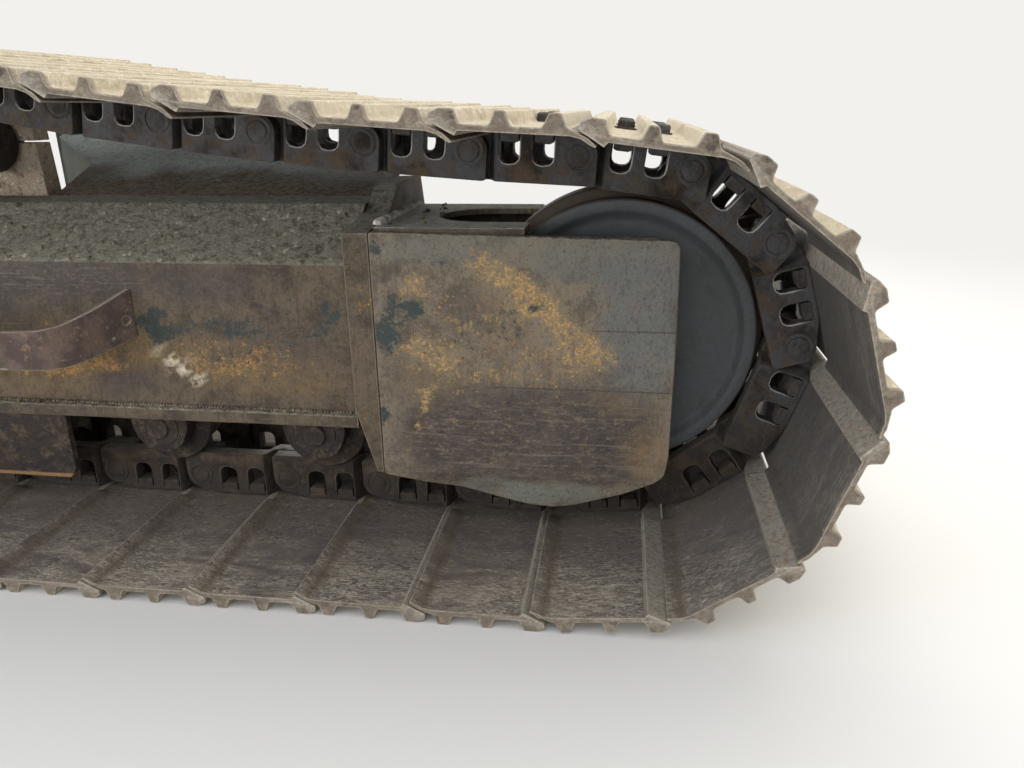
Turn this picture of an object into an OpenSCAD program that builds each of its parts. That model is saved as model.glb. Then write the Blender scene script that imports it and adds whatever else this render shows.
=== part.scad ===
// Crawler track unit of a 25 tonne class excavator: one side frame with its idler, rollers,
// drive sprocket and triple-grouser chain. Millimetres, +X to the idler, +Y to the machine's
// middle, Z up, origin on the ground under the chain's centreline.

/* [Chain] */
// Links in the closed chain, and shoes
link_count = 49; // [45:1:53]
// Distance from pin to pin
link_pitch = 190.5; // [180:0.5:203]
// Height of one link, from the shoe to the rail's running face
link_height = 94; // [88:1:100]
// Height of the pins above the shoe's seat
pin_height = 44; // [42:1:48]
// Thickness of one link's leg
link_t = 30; // [24:1:34]
// Distance of the inner legs' inside face from the centreline
link_inner_y = 47.5; // [45:0.5:55]
// How far a link reaches past its pins
link_overhang = 34; // [28:1:36]

/* [Shoes] */
// Width of a track shoe
shoe_w = 900; // [600:10:1000]
// Thickness of the shoe's plate
shoe_t = 8.5; // [7:0.5:12]
// Height of the grousers below the plate
grouser_h = 19; // [14:1:28]

/* [Wheels] */
// Radius of the pins' circle round the idler
idler_pitch_r = 316.2; // [300:0.1:330]
// Half width of the idler's treads
idler_half_w = 90; // [80:1:96]
// Half width of the idler's centre flange
idler_flange_half_w = 38; // [30:1:42]
// Height of the idler's centre flange over its treads
idler_flange_h = 18; // [12:1:22]
// Radius of the idler's axle
idler_axle_r = 45; // [35:1:55]
// Seats round the sprocket, two to each link
sprocket_seats = 21; // [19:2:25]
// Thickness of the sprocket's toothed ring
sprocket_t = 52; // [40:1:70]
// Radius of the chain's bushings
bushing_r = 27; // [24:0.5:30]

/* [Rollers] */
// Number of track rollers
roller_count = 9; // [7:1:9]
// Tread radius of the track rollers
roller_r = 75; // [65:1:80]
// Radius of the fixed collars at the track rollers' ends
roller_collar_r = 55; // [45:1:60]
// Distance from the idler's axle to the first track roller
roller_first = 570; // [550:5:600]
// Distance from the sprocket's axle to the last track roller
roller_last = 512; // [490:5:560]
// Tread radius of the carrier rollers
carrier_r = 62; // [55:1:75]
// Height of the carrier rollers' axles
carrier_z = 729; // [700:1:745]
// Distance from an end wheel's axle to the nearer carrier roller
carrier_from_end = 1335; // [1150:5:1360]
// Sag of the chain's top run between two supports
chain_sag = 26; // [10:1:32]

/* [Side frame] */
// Half width of the side frame's beam
beam_half_w = 182; // [170:1:200]
// Height of the beam's bottom rails over the ground
beam_bottom_z = 227; // [220:1:235]
// Thickness of the bottom rails that carry the rollers
rail_t = 25; // [20:1:30]
// Height where the beam's sides turn into its sloping top
crease_z = 532; // [500:1:560]
// Height of the beam's ridge
ridge_z = 622; // [600:1:640]
// Half width of the beam's flat ridge
ridge_half_w = 60; // [40:1:90]
// Thickness of the beam's plates
beam_t = 12; // [8:1:18]
// Distance from the idler's axle to the beam's front end
beam_front_gap = 470; // [450:5:500]
// Distance from the sprocket's axle to the beam's rear end
beam_rear_gap = 440; // [420:5:470]
// Thickness of the plates that close the beam's ends
end_plate_t = 46; // [24:1:52]
// Distance from the idler's axle to the front step
step_first = 890; // [860:10:920]
// Distance from the front step to the rear one
step_spacing = 1170; // [1100:10:1250]
// Length of a step's tread bar
step_length = 520; // [460:10:560]
// How far a step stands out from the beam
step_out = 116; // [90:2:130]
// Height of a step's flat bar
step_h = 74; // [50:1:80]
// Height of the middle of a step's bar
step_z = 408; // [400:1:430]

/* [Adjuster] */
// Length of the adjuster's cylinder
adjuster_length = 640; // [560:10:700]
// Radius of the adjuster's cylinder
adjuster_r = 95; // [80:1:105]
// Radius of the yoke's rod
rod_r = 45; // [36:1:50]

/* [Idler box] */
// Thickness of the box's side plates and of the covers on them
box_t = 16; // [12:1:20]
// Height of the box's top face
box_top_z = 595; // [585:1:605]
// Width of the slot in the box's top
box_slot_w = 200; // [196:1:220]
// Distance from the idler's axle to the slot's closed end
box_slot_reach = 341; // [320:1:380]
// Distance from the idler's axle back to the front end of the box's top plate
box_top_gap = 160; // [140:1:200]
// How far the covers reach ahead of the idler's axle
cover_reach = 96; // [60:1:120]

/* [Carbody legs] */
// Distance from the chain's centreline to the flanges' outer faces
leg_reach = 480; // [470:5:490]
// Thickness of the flanges
flange_t = 30; // [24:1:40]
// Width of a leg where it meets the beam
leg_root_w = 720; // [600:10:760]
// Width of a leg at its flange
leg_end_w = 540; // [440:10:560]
// How far a leg's flange lies from its root's middle, toward the machine's middle
leg_sweep = 320; // [240:10:340]
// Rise of a leg's top face for each millimetre across
leg_slope = 0.3; // [0.1:0.05:0.35]
// Radius of the flange's bolt holes
flange_hole_r = 13.5; // [10:0.5:17]

/* [Hidden] */
$fn = 64;

// Heights in the chain: a pin on the lower run, the rail's running face over a pin
pin_z = grouser_h + shoe_t + pin_height;
rail_h = link_height - pin_height;

// Wheels: the angle that one link takes round each, and the pins' circle on the sprocket
idler_step = 2 * asin(link_pitch / 2 / idler_pitch_r);
sprocket_step = 720 / sprocket_seats;
sprocket_pitch_r = link_pitch / 2 / sin(sprocket_step / 2);
idler_z = pin_z + idler_pitch_r;
sprocket_z = pin_z + sprocket_pitch_r;
idler_links = 180 / idler_step;
sprocket_links = 180 / sprocket_step;

// How far a straight link cuts under the pins' path where it crosses a carrier roller
crest = 14.5;
// Top run: heights of the pins over the idler, the carrier rollers and the sprocket
top_z = [pin_z + 2 * idler_pitch_r, carrier_z + carrier_r + rail_h + crest,
    pin_z + 2 * sprocket_pitch_r];
end_rises = [top_z[1] - top_z[0], top_z[1] - top_z[2]];
straight_links = link_count - idler_links - sprocket_links;
// What the top run is longer than the lower one: its two rises and its three sags
top_extra = (pow(end_rises[0], 2) + pow(end_rises[1], 2)) / 2 / carrier_from_end
    + 3 * 8 * pow(chain_sag, 2) / 3 / carrier_from_end;
axle_distance = (straight_links * link_pitch - top_extra) / 2;
idler_x = axle_distance / 2;
sprocket_x = -idler_x;

// Lengths of the path's stretches, in links: lower run, idler, three top spans, sprocket
carrier_xs = [idler_x - carrier_from_end, sprocket_x + carrier_from_end];
span_xs = [idler_x, carrier_xs[0], carrier_xs[1], sprocket_x];
span_zs = [top_z[0], top_z[1], top_z[1], top_z[2]];
span_links = [for (i = [0:2]) let (w = span_xs[i] - span_xs[i + 1], h = span_zs[i + 1] - span_zs[i])
    (norm([w, h]) + 8 * pow(chain_sag, 2) / 3 / w) / link_pitch];
top_links = span_links[0] + span_links[1] + span_links[2];
low_links = axle_distance / link_pitch;
// Where pin 0 stands, in links past the lowest point of the idler
first_pin = 0.53;

// Chain plan: one leg outboard, one inboard, with a small running gap between neighbours
leg_gap = 0.6;
link_outer_y = link_inner_y + link_t + leg_gap;
link_face_y = link_outer_y + link_t;

// Clearances: of what turns, of a shaft in its bore, of a wheel on its rail
run_gap = 5;
bore_gap = 0.05;
seat_gap = 0.3;
idler_tread_r = idler_pitch_r * cos(idler_step / 2) - rail_h - run_gap;
roller_z = pin_z + rail_h + roller_r;
rail_inner_y = link_face_y + 20;
beam_x0 = sprocket_x + beam_rear_gap;
beam_x1 = idler_x - beam_front_gap;
box_x0 = beam_x1 + end_plate_t;
box_side_y = beam_half_w - 9;
cover_y = box_side_y + box_t;
bulkhead_half_w = cover_y + box_t;
flange_y = leg_reach - flange_t;
roller_pitch = (axle_distance - roller_first - roller_last) / (roller_count - 1);

// Point on one sagging top span, u from 0 to 1 rearward
function span_point(i, u) = [span_xs[i] + (span_xs[i + 1] - span_xs[i]) * u,
    span_zs[i] + (span_zs[i + 1] - span_zs[i]) * u - 4 * chain_sag * u * (1 - u)];

function top_point(t) = t < span_links[0] ? span_point(0, t / span_links[0])
    : t < span_links[0] + span_links[1] ? span_point(1, (t - span_links[0]) / span_links[1])
    : span_point(2, (t - span_links[0] - span_links[1]) / span_links[2]);

// Point of the pins' path, t in links past the lowest point of the idler
function path_point(t) = t < idler_links
    ? [idler_x + idler_pitch_r * sin(t * idler_step), idler_z - idler_pitch_r * cos(t * idler_step)]
    : t < idler_links + top_links ? top_point(t - idler_links)
    : t < idler_links + top_links + sprocket_links
    ? let (a = (t - idler_links - top_links) * sprocket_step)
        [sprocket_x - sprocket_pitch_r * sin(a), sprocket_z + sprocket_pitch_r * cos(a)]
    : [idler_x - (idler_links + top_links + sprocket_links + low_links - t) * link_pitch, pin_z];

function pin_point(k) = path_point(first_pin + (k % link_count));

// Angle of the first pin on the sprocket from its top, which sets the seats
sprocket_start = idler_links + top_links;
first_seat = (ceil(sprocket_start - first_pin) + first_pin - sprocket_start) * sprocket_step;

// A flat outline in X and Z, given thickness from y0 to y1
module slab(y0, y1) {
    translate([0, y1, 0]) rotate([90, 0, 0]) linear_extrude(y1 - y0) children();
}

// A round along Y, from y0 to y1
module bar_y(x, z, r, y0, y1) {
    translate([x, y1, z]) rotate([90, 0, 0]) cylinder(r = r, h = y1 - y0);
}

// A revolved outline about an axle along Y; the outline is drawn as radius and y
module wheel(x, z) {
    translate([x, 0, z]) rotate([-90, 0, 0]) rotate_extrude() children();
}

// Sets its children, drawn for a level link with its middle at the origin, on every link
module on_links() {
    for (k = [0:link_count - 1])
        let (a = pin_point(k), b = pin_point(k + 1), d = b - a)
            translate([(a[0] + b[0]) / 2, 0, (a[1] + b[1]) / 2])
                rotate([0, -atan2(d[1], d[0]), 0]) children();
}

// Side outline of a triple-grouser shoe: thin lip, three grousers, bevelled tail
module shoe_outline() {
    top = -pin_height;
    low = top - shoe_t;
    tip = low - grouser_h;
    lip = -0.68 * link_pitch;
    polygon([[lip, top], [lip, top - 2], [-92, low], [-85.5, tip], [-69.5, tip], [-63.5, low],
        [-19.5, low], [-14, tip], [0.5, tip], [5.5, low], [47, low], [54, tip], [72, tip],
        [86, tip + 8], [50, top]]);
}

module track_shoes() {
    color([0.30, 0.27, 0.27]) on_links() slab(-shoe_w / 2, shoe_w / 2) shoe_outline();
}

// One link in plan: its rear leg outboard, its front leg inboard, a slanting web between;
// the inboard end is cut back below so that it swings clear of the next shoe
module chain_link() {
    e = link_pitch / 2 + link_overhang;
    c = 18;
    back = link_outer_y;
    front = link_inner_y;
    boss_rise = 24;
    intersection() {
        translate([0, 0, -pin_height]) linear_extrude(link_height)
            polygon([[-e, back], [-c, back], [c, front], [e, front],
                [e, front + link_t], [c, front + link_t], [-c, back + link_t], [-e, back + link_t]]);
        slab(front - 1, back + link_t + 1)
            polygon([[-e - 1, -pin_height], [link_pitch / 2 - link_overhang - 6, -pin_height],
                [e + 1, boss_rise - pin_height], [e + 1, rail_h], [-e - 1, rail_h]]);
    }
}

module track_links() {
    color([0.24, 0.22, 0.21]) on_links() {
        chain_link();
        mirror([0, 1, 0]) chain_link();
    }
}

// Front idler: two treads beside a centre flange, dished webs and a long hub
module idler_wheel() {
    t = idler_tread_r;
    f = t + idler_flange_h;
    w = idler_half_w;
    hub = idler_axle_r + 40;
    dish = 12;
    color([0.20, 0.22, 0.25]) wheel(idler_x, idler_z)
        polygon([[idler_axle_r + bore_gap, -w - 6], [hub, -w - 6], [hub + 8, -w + dish],
            [t - 30, -w + dish], [t - 20, -w], [t - 4, -w], [t, -w + 4],
            [t, -idler_flange_half_w - 5], [f, -idler_flange_half_w + 6],
            [f, idler_flange_half_w - 6], [t, idler_flange_half_w + 5],
            [t, w - 4], [t - 4, w], [t - 20, w], [t - 30, w - dish], [hub + 8, w - dish],
            [hub, w + 6], [idler_axle_r + bore_gap, w + 6]]);
}

block_y0 = idler_half_w + 6 + run_gap;
block_y1 = box_side_y - 1;
axle_half = box_side_y - 3;
block_h = 80;
block_x = 70;

module idler_axle() {
    color([0.45, 0.45, 0.47]) bar_y(idler_x, idler_z, idler_axle_r, -axle_half, axle_half);
}

// Bearing block that slides in the box, bored for the axle
module idler_block(side) {
    y0 = side > 0 ? block_y0 : -block_y1;
    y1 = side > 0 ? block_y1 : -block_y0;
    color([0.33, 0.28, 0.22]) difference() {
        slab(y0, y1) translate([idler_x, idler_z])
            polygon([[-block_x, -block_h], [block_x - 20, -block_h], [block_x, -block_h + 20],
                [block_x, block_h - 20], [block_x - 20, block_h], [-block_x, block_h]]);
        bar_y(idler_x, idler_z, idler_axle_r + bore_gap, y0 - 1, y1 + 1);
    }
}

yoke_x = idler_x - idler_tread_r - idler_flange_h - 30;

// Yoke that pushes both blocks forward, with its rod through the bulkhead
module idler_yoke() {
    arm = 45;
    color([0.32, 0.30, 0.28]) {
        difference() {
            translate([yoke_x - 50, -block_y1 + 4, idler_z - arm])
                cube([idler_x - block_x - seat_gap - yoke_x + 50, 2 * block_y1 - 8, 2 * arm]);
            translate([yoke_x, -block_y0 - 6, idler_z - arm - 1])
                cube([idler_x - yoke_x, 2 * block_y0 + 12, 2 * arm + 2]);
        }
        translate([beam_x1 - 10, 0, idler_z]) rotate([0, 90, 0])
            cylinder(r = rod_r, h = yoke_x - 50 - beam_x1 + 10);
    }
}

// Grease cylinder and spring pot inside the beam, seated on the bulkhead
module adjuster_cylinder() {
    color([0.28, 0.27, 0.25]) difference() {
        translate([beam_x1 - adjuster_length, 0, idler_z]) rotate([0, 90, 0]) union() {
            cylinder(r = adjuster_r, h = adjuster_length);
            translate([0, 0, -40]) cylinder(r = adjuster_r * 0.63, h = 40);
        }
        translate([beam_x1 - 12, 0, idler_z]) rotate([0, 90, 0]) cylinder(r = rod_r + 1, h = 14);
    }
}

// Sprocket ring with a round seat for each bushing and a tooth between the seats
module sprocket() {
    seat_r = bushing_r + 2;
    tip_r = sprocket_pitch_r + 9;
    color([0.30, 0.29, 0.28]) difference() {
        bar_y(sprocket_x, sprocket_z, tip_r, -sprocket_t / 2, sprocket_t / 2);
        for (i = [0:sprocket_seats - 1])
            let (a = first_seat + i * 360 / sprocket_seats)
                bar_y(sprocket_x - sprocket_pitch_r * sin(a), sprocket_z + sprocket_pitch_r * cos(a),
                    seat_r, -sprocket_t, sprocket_t);
        bar_y(sprocket_x, sprocket_z, drive_bore_r, -sprocket_t, sprocket_t);
    }
}

drive_bore_r = 170;
bracket_y0 = 118;
bracket_t = 36;

// Planetary final drive: rotating drum and cover outboard, fixed casing inboard
module final_drive() {
    s = sprocket_t / 2;
    color([0.30, 0.30, 0.30]) wheel(sprocket_x, sprocket_z)
        polygon([[0, -186], [60, -186], [132, -178], [150, -164], [152, -118], [176, -112],
            [196, -96], [200, -s - 22], [228, -s - 18], [228, -s - 0.3], [drive_bore_r - 0.3, -s - 0.3],
            [drive_bore_r - 0.3, s + 6], [205, s + 10], [205, 92], [180, bracket_y0], [0, bracket_y0]]);
}

motor_y = bracket_y0 + bracket_t;

// Hydraulic travel motor with its port block
module travel_motor() {
    color([0.22, 0.22, 0.23]) {
        wheel(sprocket_x, sprocket_z)
            polygon([[0, motor_y], [128, motor_y], [128, motor_y + 28], [104, motor_y + 40],
                [104, motor_y + 120], [88, motor_y + 136], [88, motor_y + 168],
                [70, motor_y + 184], [0, motor_y + 184]]);
        translate([sprocket_x + 60, motor_y + 50, sprocket_z - 55]) cube([80, 90, 110]);
    }
}

// Guard plate bent round the motor's rear and underside
module motor_guard() {
    r = 172;
    t = 10;
    color([0.42, 0.33, 0.18]) difference() {
        union() {
            bar_y(sprocket_x, sprocket_z, r, motor_y, motor_y + 205);
            translate([sprocket_x, motor_y, sprocket_z - r]) cube([180, 205, t]);
            translate([sprocket_x, motor_y, sprocket_z + r - t]) cube([180, 205, t]);
        }
        bar_y(sprocket_x, sprocket_z, r - t, motor_y - 1, motor_y + 195);
        translate([sprocket_x, motor_y - 1, sprocket_z - r + t])
            cube([r + 20, 207, 2 * (r - t)]);
    }
}

// Thick plate that carries the final drive, with two gussets to the rear bulkhead
module drive_bracket() {
    end_r = 236;
    x1 = beam_x0 - end_plate_t;
    color([0.40, 0.33, 0.20]) {
        slab(bracket_y0, motor_y) union() {
            translate([sprocket_x, sprocket_z]) circle(r = end_r);
            polygon([[sprocket_x, sprocket_z - end_r], [x1, beam_bottom_z + 10], [x1, crease_z + 40],
                [sprocket_x, sprocket_z + end_r]]);
        }
        for (z = [beam_bottom_z + 30, crease_z - 10])
            translate([x1, motor_y, z]) linear_extrude(20)
                polygon([[0, 0], [-150, 0], [-40, beam_half_w - motor_y], [0, beam_half_w - motor_y]]);
    }
}

// Outline of the beam across, in Y and Z
function beam_outline(in) = let (w = beam_half_w - in, r = ridge_half_w - in * 0.4,
    z = ridge_z - in, c = crease_z - in * 0.4)
    [[w, beam_bottom_z + rail_t], [w, c], [r, z], [-r, z], [-w, c], [-w, beam_bottom_z + rail_t]];

module along_x(x0, x1) {
    translate([x0, 0, 0]) rotate([90, 0, 90]) linear_extrude(x1 - x0) children();
}

// Beam shell: sides and sloping top of one folded section, open below between the rails
module frame_beam() {
    color([0.42, 0.34, 0.20]) along_x(beam_x0, beam_x1) difference() {
        polygon(beam_outline(0));
        polygon(concat(beam_outline(beam_t), [[-beam_half_w + beam_t, 0], [beam_half_w - beam_t, 0]]));
    }
}

// Bottom rail that the rollers' ends are bolted to
module roller_rail(side) {
    w = beam_half_w + 13 - rail_inner_y;
    y = side > 0 ? rail_inner_y : -rail_inner_y - w;
    color([0.44, 0.36, 0.22])
        translate([beam_x0, y, beam_bottom_z]) cube([beam_x1 - beam_x0, w, rail_t]);
}

// Plate between the beam and the idler box: a flat top outboard, raised inboard to the leg
module front_bulkhead() {
    w = bulkhead_half_w;
    b = beam_bottom_z + rail_t + 6;
    color([0.40, 0.33, 0.20]) {
        difference() {
            along_x(beam_x1, box_x0)
                polygon([[-w, b], [-w, box_top_z - 6], [-ridge_half_w, box_top_z + 14], [0, ridge_z + 30],
                    [beam_half_w, ridge_z + 30], [w, box_top_z - 6], [w, b]]);
            translate([beam_x1 - 1, 0, idler_z]) rotate([0, 90, 0])
                cylinder(r = rod_r + 1, h = end_plate_t + 2);
        }
        for (y = [-w, w - 44])
            slab(y, y + 44)
                polygon([[beam_x1, b + 10], [box_x0 - 12, 146], [box_x0, 146], [box_x0, b + 10]]);
    }
}

module rear_bulkhead() {
    color([0.40, 0.33, 0.20]) along_x(beam_x0 - end_plate_t, beam_x0) polygon(beam_outline(0));
}

// Side plate of the idler box with the two rails that its block slides between
module box_side(side) {
    y0 = side > 0 ? box_side_y : -box_side_y - box_t;
    rail_w = box_side_y - block_y0 - 4;
    ry = side > 0 ? box_side_y - rail_w : -box_side_y;
    color([0.38, 0.31, 0.20]) {
        slab(y0, y0 + box_t)
            polygon([[box_x0, 150], [idler_x - 180, 140], [idler_x + cover_reach - 60, 175],
                [idler_x + cover_reach - 36, 210], [idler_x + cover_reach - 36, box_top_z - 12],
                [box_x0, box_top_z - 12]]);
        for (z = [idler_z - block_h - 20.5, idler_z + block_h + 0.5])
            translate([box_x0, ry, z]) cube([idler_x + 50 - box_x0, rail_w, 20]);
    }
}

// Worn cover plate on the box's side: square above, bulging below toward the chain
module box_cover(side) {
    y0 = side > 0 ? cover_y : -cover_y - box_t;
    x1 = idler_x + cover_reach;
    color([0.55, 0.42, 0.18]) slab(y0, y0 + box_t)
        polygon([[box_x0 + seat_gap, 140], [idler_x - 341, 127], [idler_x - 275, 120], [idler_x - 217, 104],
            [idler_x - 154, 89], [idler_x - 109, 85], [idler_x - 71, 91], [idler_x + 16, 120],
            [x1 - 25, 146], [x1 - 6, 162], [x1, 200], [x1 + 2, 434], [x1, box_top_z - 28],
            [x1 - 4, box_top_z - 18], [x1 - 16, box_top_z - 14], [box_x0 + seat_gap, box_top_z - 4]]);
}

// Top plate of the idler box with a slot that the idler turns in
module box_top() {
    w = box_side_y;
    r = box_slot_w / 2;
    color([0.40, 0.36, 0.28]) difference() {
        translate([box_x0, -w, box_top_z - 12])
            cube([idler_x - box_top_gap - box_x0, 2 * w, 12]);
        translate([idler_x - box_slot_reach + r, 0, box_top_z - 20]) cylinder(r = r, h = 30);
        translate([idler_x - box_slot_reach + r, -r, box_top_z - 20]) cube([600, 2 * r, 30]);
    }
}

// Track roller: twin treads with outer flanges, between fixed collars that seat under the rails
module track_roller(i) {
    x = idler_x - roller_first - (i - 1) * roller_pitch;
    r = roller_r - seat_gap;
    f = roller_r + 12;
    waist = roller_r - 24;
    n = link_inner_y;
    y0 = link_face_y + 2;
    y1 = rail_inner_y - 6;
    end = rail_inner_y + 36;
    seat = beam_bottom_z - roller_z;
    color([0.30, 0.25, 0.22]) {
        wheel(x, roller_z)
            polygon([[0, -y1], [f - 6, -y1], [f, -y1 + 3], [f, -y0 - 2], [r, -y0], [r, -n + 4],
                [waist, -n + 16], [waist, n - 16], [r, n - 4], [r, y0], [f, y0 + 2], [f, y1 - 3],
                [f - 6, y1], [0, y1]]);
        for (s = [-1, 1]) slab(s > 0 ? y1 : -end, s > 0 ? end : -y1) translate([x, roller_z])
            intersection() {
                union() {
                    circle(r = roller_collar_r);
                    translate([-roller_collar_r - 4, 6]) square([2 * roller_collar_r + 8, 60]);
                }
                translate([-90, -90]) square([180, 90 + seat]);
            }
    }
}

carrier_shaft_r = 25;

// Carrier roller with its shaft reaching inboard into the bracket's clamp
module carrier_roller(x) {
    color([0.26, 0.23, 0.21]) wheel(x, carrier_z)
        polygon([[0, -98], [carrier_r - 22, -98], [carrier_r - 6, -94], [carrier_r, -88],
            [carrier_r, -40], [carrier_r - 10, -34], [carrier_r - 10, 34], [carrier_r, 40],
            [carrier_r, 92], [carrier_r - 8, 98], [carrier_shaft_r, 98],
            [carrier_shaft_r, clamp_y1 + 8], [0, clamp_y1 + 8]]);
}

clamp_y0 = 104;
clamp_y1 = 152;
clamp_half_w = 52;
clamp_ear = 50;
clamp_room = 10;

// Cast pedestal on the frame with a clamp round the carrier roller's shaft, split to its ear,
// which points to the nearer end wheel
module carrier_bracket(x) {
    w = clamp_half_w;
    e = w + clamp_ear;
    top = carrier_z + carrier_shaft_r + 15;
    side = x > 0 ? 1 : -1;
    color([0.52, 0.45, 0.36]) difference() {
        slab(clamp_y0, clamp_y1) translate([x, 0]) scale([side, 1, 1])
            polygon([[-w, crease_z], [e, crease_z], [e - 12, top - 4], [e - 16, top],
                [-w + 30, top], [-w + 14, top - 14]]);
        bar_y(x, carrier_z, carrier_shaft_r + bore_gap, clamp_y0 - 1, clamp_y1 + 1);
        translate([x - (side > 0 ? 0 : e + 1), clamp_y0 - 1, carrier_z - 2])
            cube([e + 1, clamp_y1 - clamp_y0 + 2, 4]);
        along_x(x - e - 1, x + e + 1) polygon(beam_outline(0));
    }
}

// Guide plates each side of a track roller, with inward feet under the rails
module track_guide(i) {
    x = idler_x - roller_first - (i - 1) * roller_pitch;
    y = beam_half_w - 6;
    color([0.28, 0.22, 0.18]) for (s = [-1, 1]) {
        slab(s > 0 ? y : -y - 14, s > 0 ? y + 14 : -y)
            polygon([[x - 147, 118], [x - 130, 92], [x + 132, 90], [x + 147, 110],
                [x + 147, beam_bottom_z], [x - 147, beam_bottom_z]]);
        for (dx = [-118, 118])
            translate([x + dx - 20, s > 0 ? y - 46 : -y, beam_bottom_z - 20]) cube([40, 46, 20]);
    }
}

leg_x = beam_x1 - leg_root_w / 2;
leg_end_x = leg_x - leg_sweep;
// Where a leg's edge toward the machine's middle starts to flare to the flange
flare_y = 240;

// Stub of a carbody leg: it rises inboard from the ridge and sweeps to its flange
module leg(side) {
    r = leg_root_w / 2;
    e = leg_end_w / 2;
    w = clamp_half_w + clamp_room;
    color([0.36, 0.42, 0.40]) mirror([side < 0 ? 1 : 0, 0, 0]) difference() {
        intersection() {
            translate([0, 0, beam_bottom_z]) linear_extrude(leg_rise_z)
                polygon([[leg_x - r, ridge_half_w], [leg_x - r - 26, flare_y],
                    [leg_end_x - e, flange_y - 30], [leg_end_x - e, flange_y],
                    [leg_end_x + e, flange_y], [leg_x + r, beam_half_w],
                    [leg_x + r, ridge_half_w]]);
            along_x(0, beam_x1)
                polygon([[ridge_half_w, ridge_z], [beam_half_w, crease_z],
                    [beam_half_w, beam_bottom_z + 73], [flange_y, flange_z0 + 30],
                    [flange_y, leg_rise_z]]);
        }
        // room for the carrier roller's clamp
        translate([carrier_xs[0] - w, clamp_y0 - clamp_room, 0])
            cube([2 * w + clamp_ear, clamp_y1 - clamp_y0 + 2 * clamp_room, carrier_z + 200]);
    }
}

leg_rise_z = ridge_z + leg_slope * (flange_y - ridge_half_w);
flange_z0 = beam_bottom_z + 123;
flange_z1 = leg_rise_z + 30;

// Bolting flange that closes a leg's inboard end
module leg_flange(side) {
    mid = (flange_z0 + flange_z1) / 2;
    dz = (flange_z1 - flange_z0) / 2 - 26;
    color([0.36, 0.40, 0.38]) mirror([side < 0 ? 1 : 0, 0, 0]) difference() {
        translate([leg_end_x - leg_end_w / 2 - 30, flange_y, flange_z0])
            cube([leg_end_w + 60, flange_t, flange_z1 - flange_z0]);
        for (dx = [-1, 1], z = [-1, 1])
            bar_y(leg_end_x + dx * (leg_end_w / 2 + 4), mid + z * dz, flange_hole_r,
                flange_y - 1, leg_reach + 1);
    }
}

// Step rail: a flat bar on two splayed legs
module step(x0) {
    y = -beam_half_w;
    o = y - step_out;
    x1 = x0 - step_out;
    x2 = x1 - step_length;
    t = 10;
    color([0.36, 0.22, 0.17]) translate([0, 0, step_z - step_h / 2]) linear_extrude(step_h)
        polygon([[x0, y], [x1, o], [x2, o], [x2 - 60, y], [x2 - 60 + t, y], [x2 + t, o + t],
            [x1 - 4, o + t], [x0 - 14, y]]);
}

track_shoes();
track_links();
idler_wheel();
idler_axle();
idler_block(-1);  // idler_block_outer
idler_block(1);  // idler_block_inner
idler_yoke();
adjuster_cylinder();
sprocket();
final_drive();
travel_motor();
motor_guard();
drive_bracket();
frame_beam();
roller_rail(-1);  // roller_rail_outer
roller_rail(1);  // roller_rail_inner
front_bulkhead();
rear_bulkhead();
box_side(-1);  // box_side_outer
box_side(1);  // box_side_inner
box_cover(-1);  // box_cover_outer
box_cover(1);  // box_cover_inner
box_top();
track_roller(1);  // track_roller_1
track_roller(2);  // track_roller_2
track_roller(3);  // track_roller_3
track_roller(4);  // track_roller_4
track_roller(5);  // track_roller_5
track_roller(6);  // track_roller_6
track_roller(7);  // track_roller_7
track_roller(8);  // track_roller_8
track_roller(9);  // track_roller_9
carrier_roller(carrier_xs[0]);  // carrier_roller_front
carrier_roller(carrier_xs[1]);  // carrier_roller_rear
carrier_bracket(carrier_xs[0]);  // carrier_bracket_front
carrier_bracket(carrier_xs[1]);  // carrier_bracket_rear
track_guide(3);  // track_guide_front
track_guide(7);  // track_guide_rear
leg(1);  // leg_front
leg(-1);  // leg_rear
leg_flange(1);  // leg_flange_front
leg_flange(-1);  // leg_flange_rear
step(idler_x - step_first);  // step_front
step(idler_x - step_first - step_spacing);  // step_rear
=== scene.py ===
import math
import random
import bmesh
import bpy
from mathutils import Matrix, Vector, noise


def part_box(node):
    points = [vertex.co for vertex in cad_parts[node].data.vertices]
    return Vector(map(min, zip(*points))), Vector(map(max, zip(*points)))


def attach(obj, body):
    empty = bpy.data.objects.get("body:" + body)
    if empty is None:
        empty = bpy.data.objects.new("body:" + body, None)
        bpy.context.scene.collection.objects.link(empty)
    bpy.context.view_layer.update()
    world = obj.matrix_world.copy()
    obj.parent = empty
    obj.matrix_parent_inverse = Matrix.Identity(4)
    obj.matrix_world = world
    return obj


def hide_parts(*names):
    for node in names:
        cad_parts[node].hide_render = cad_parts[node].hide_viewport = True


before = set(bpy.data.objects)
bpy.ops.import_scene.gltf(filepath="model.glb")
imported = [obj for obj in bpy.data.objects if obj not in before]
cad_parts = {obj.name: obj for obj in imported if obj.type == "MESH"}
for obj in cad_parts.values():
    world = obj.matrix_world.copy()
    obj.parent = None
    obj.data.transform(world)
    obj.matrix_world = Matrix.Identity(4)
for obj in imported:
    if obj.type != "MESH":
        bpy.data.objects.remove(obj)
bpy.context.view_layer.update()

mm = 0.001
trackBody = "track_frame"
idlerBody = "idler"


def hexToLinear(code):
    channels = [int(code[i:i + 2], 16) / 255 for i in (1, 3, 5)]
    return tuple(c / 12.92 if c <= 0.04045 else ((c + 0.055) / 1.055) ** 2.4 for c in channels) + (1,)


def addNode(tree, kind, sockets=None, **settings):
    node = tree.nodes.new(kind)
    for name, value in settings.items():
        setattr(node, name, value)
    for key, value in (sockets or {}).items():
        if isinstance(value, bpy.types.NodeSocket):
            tree.links.new(value, node.inputs[key])
        else:
            node.inputs[key].default_value = value
    return node


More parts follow.
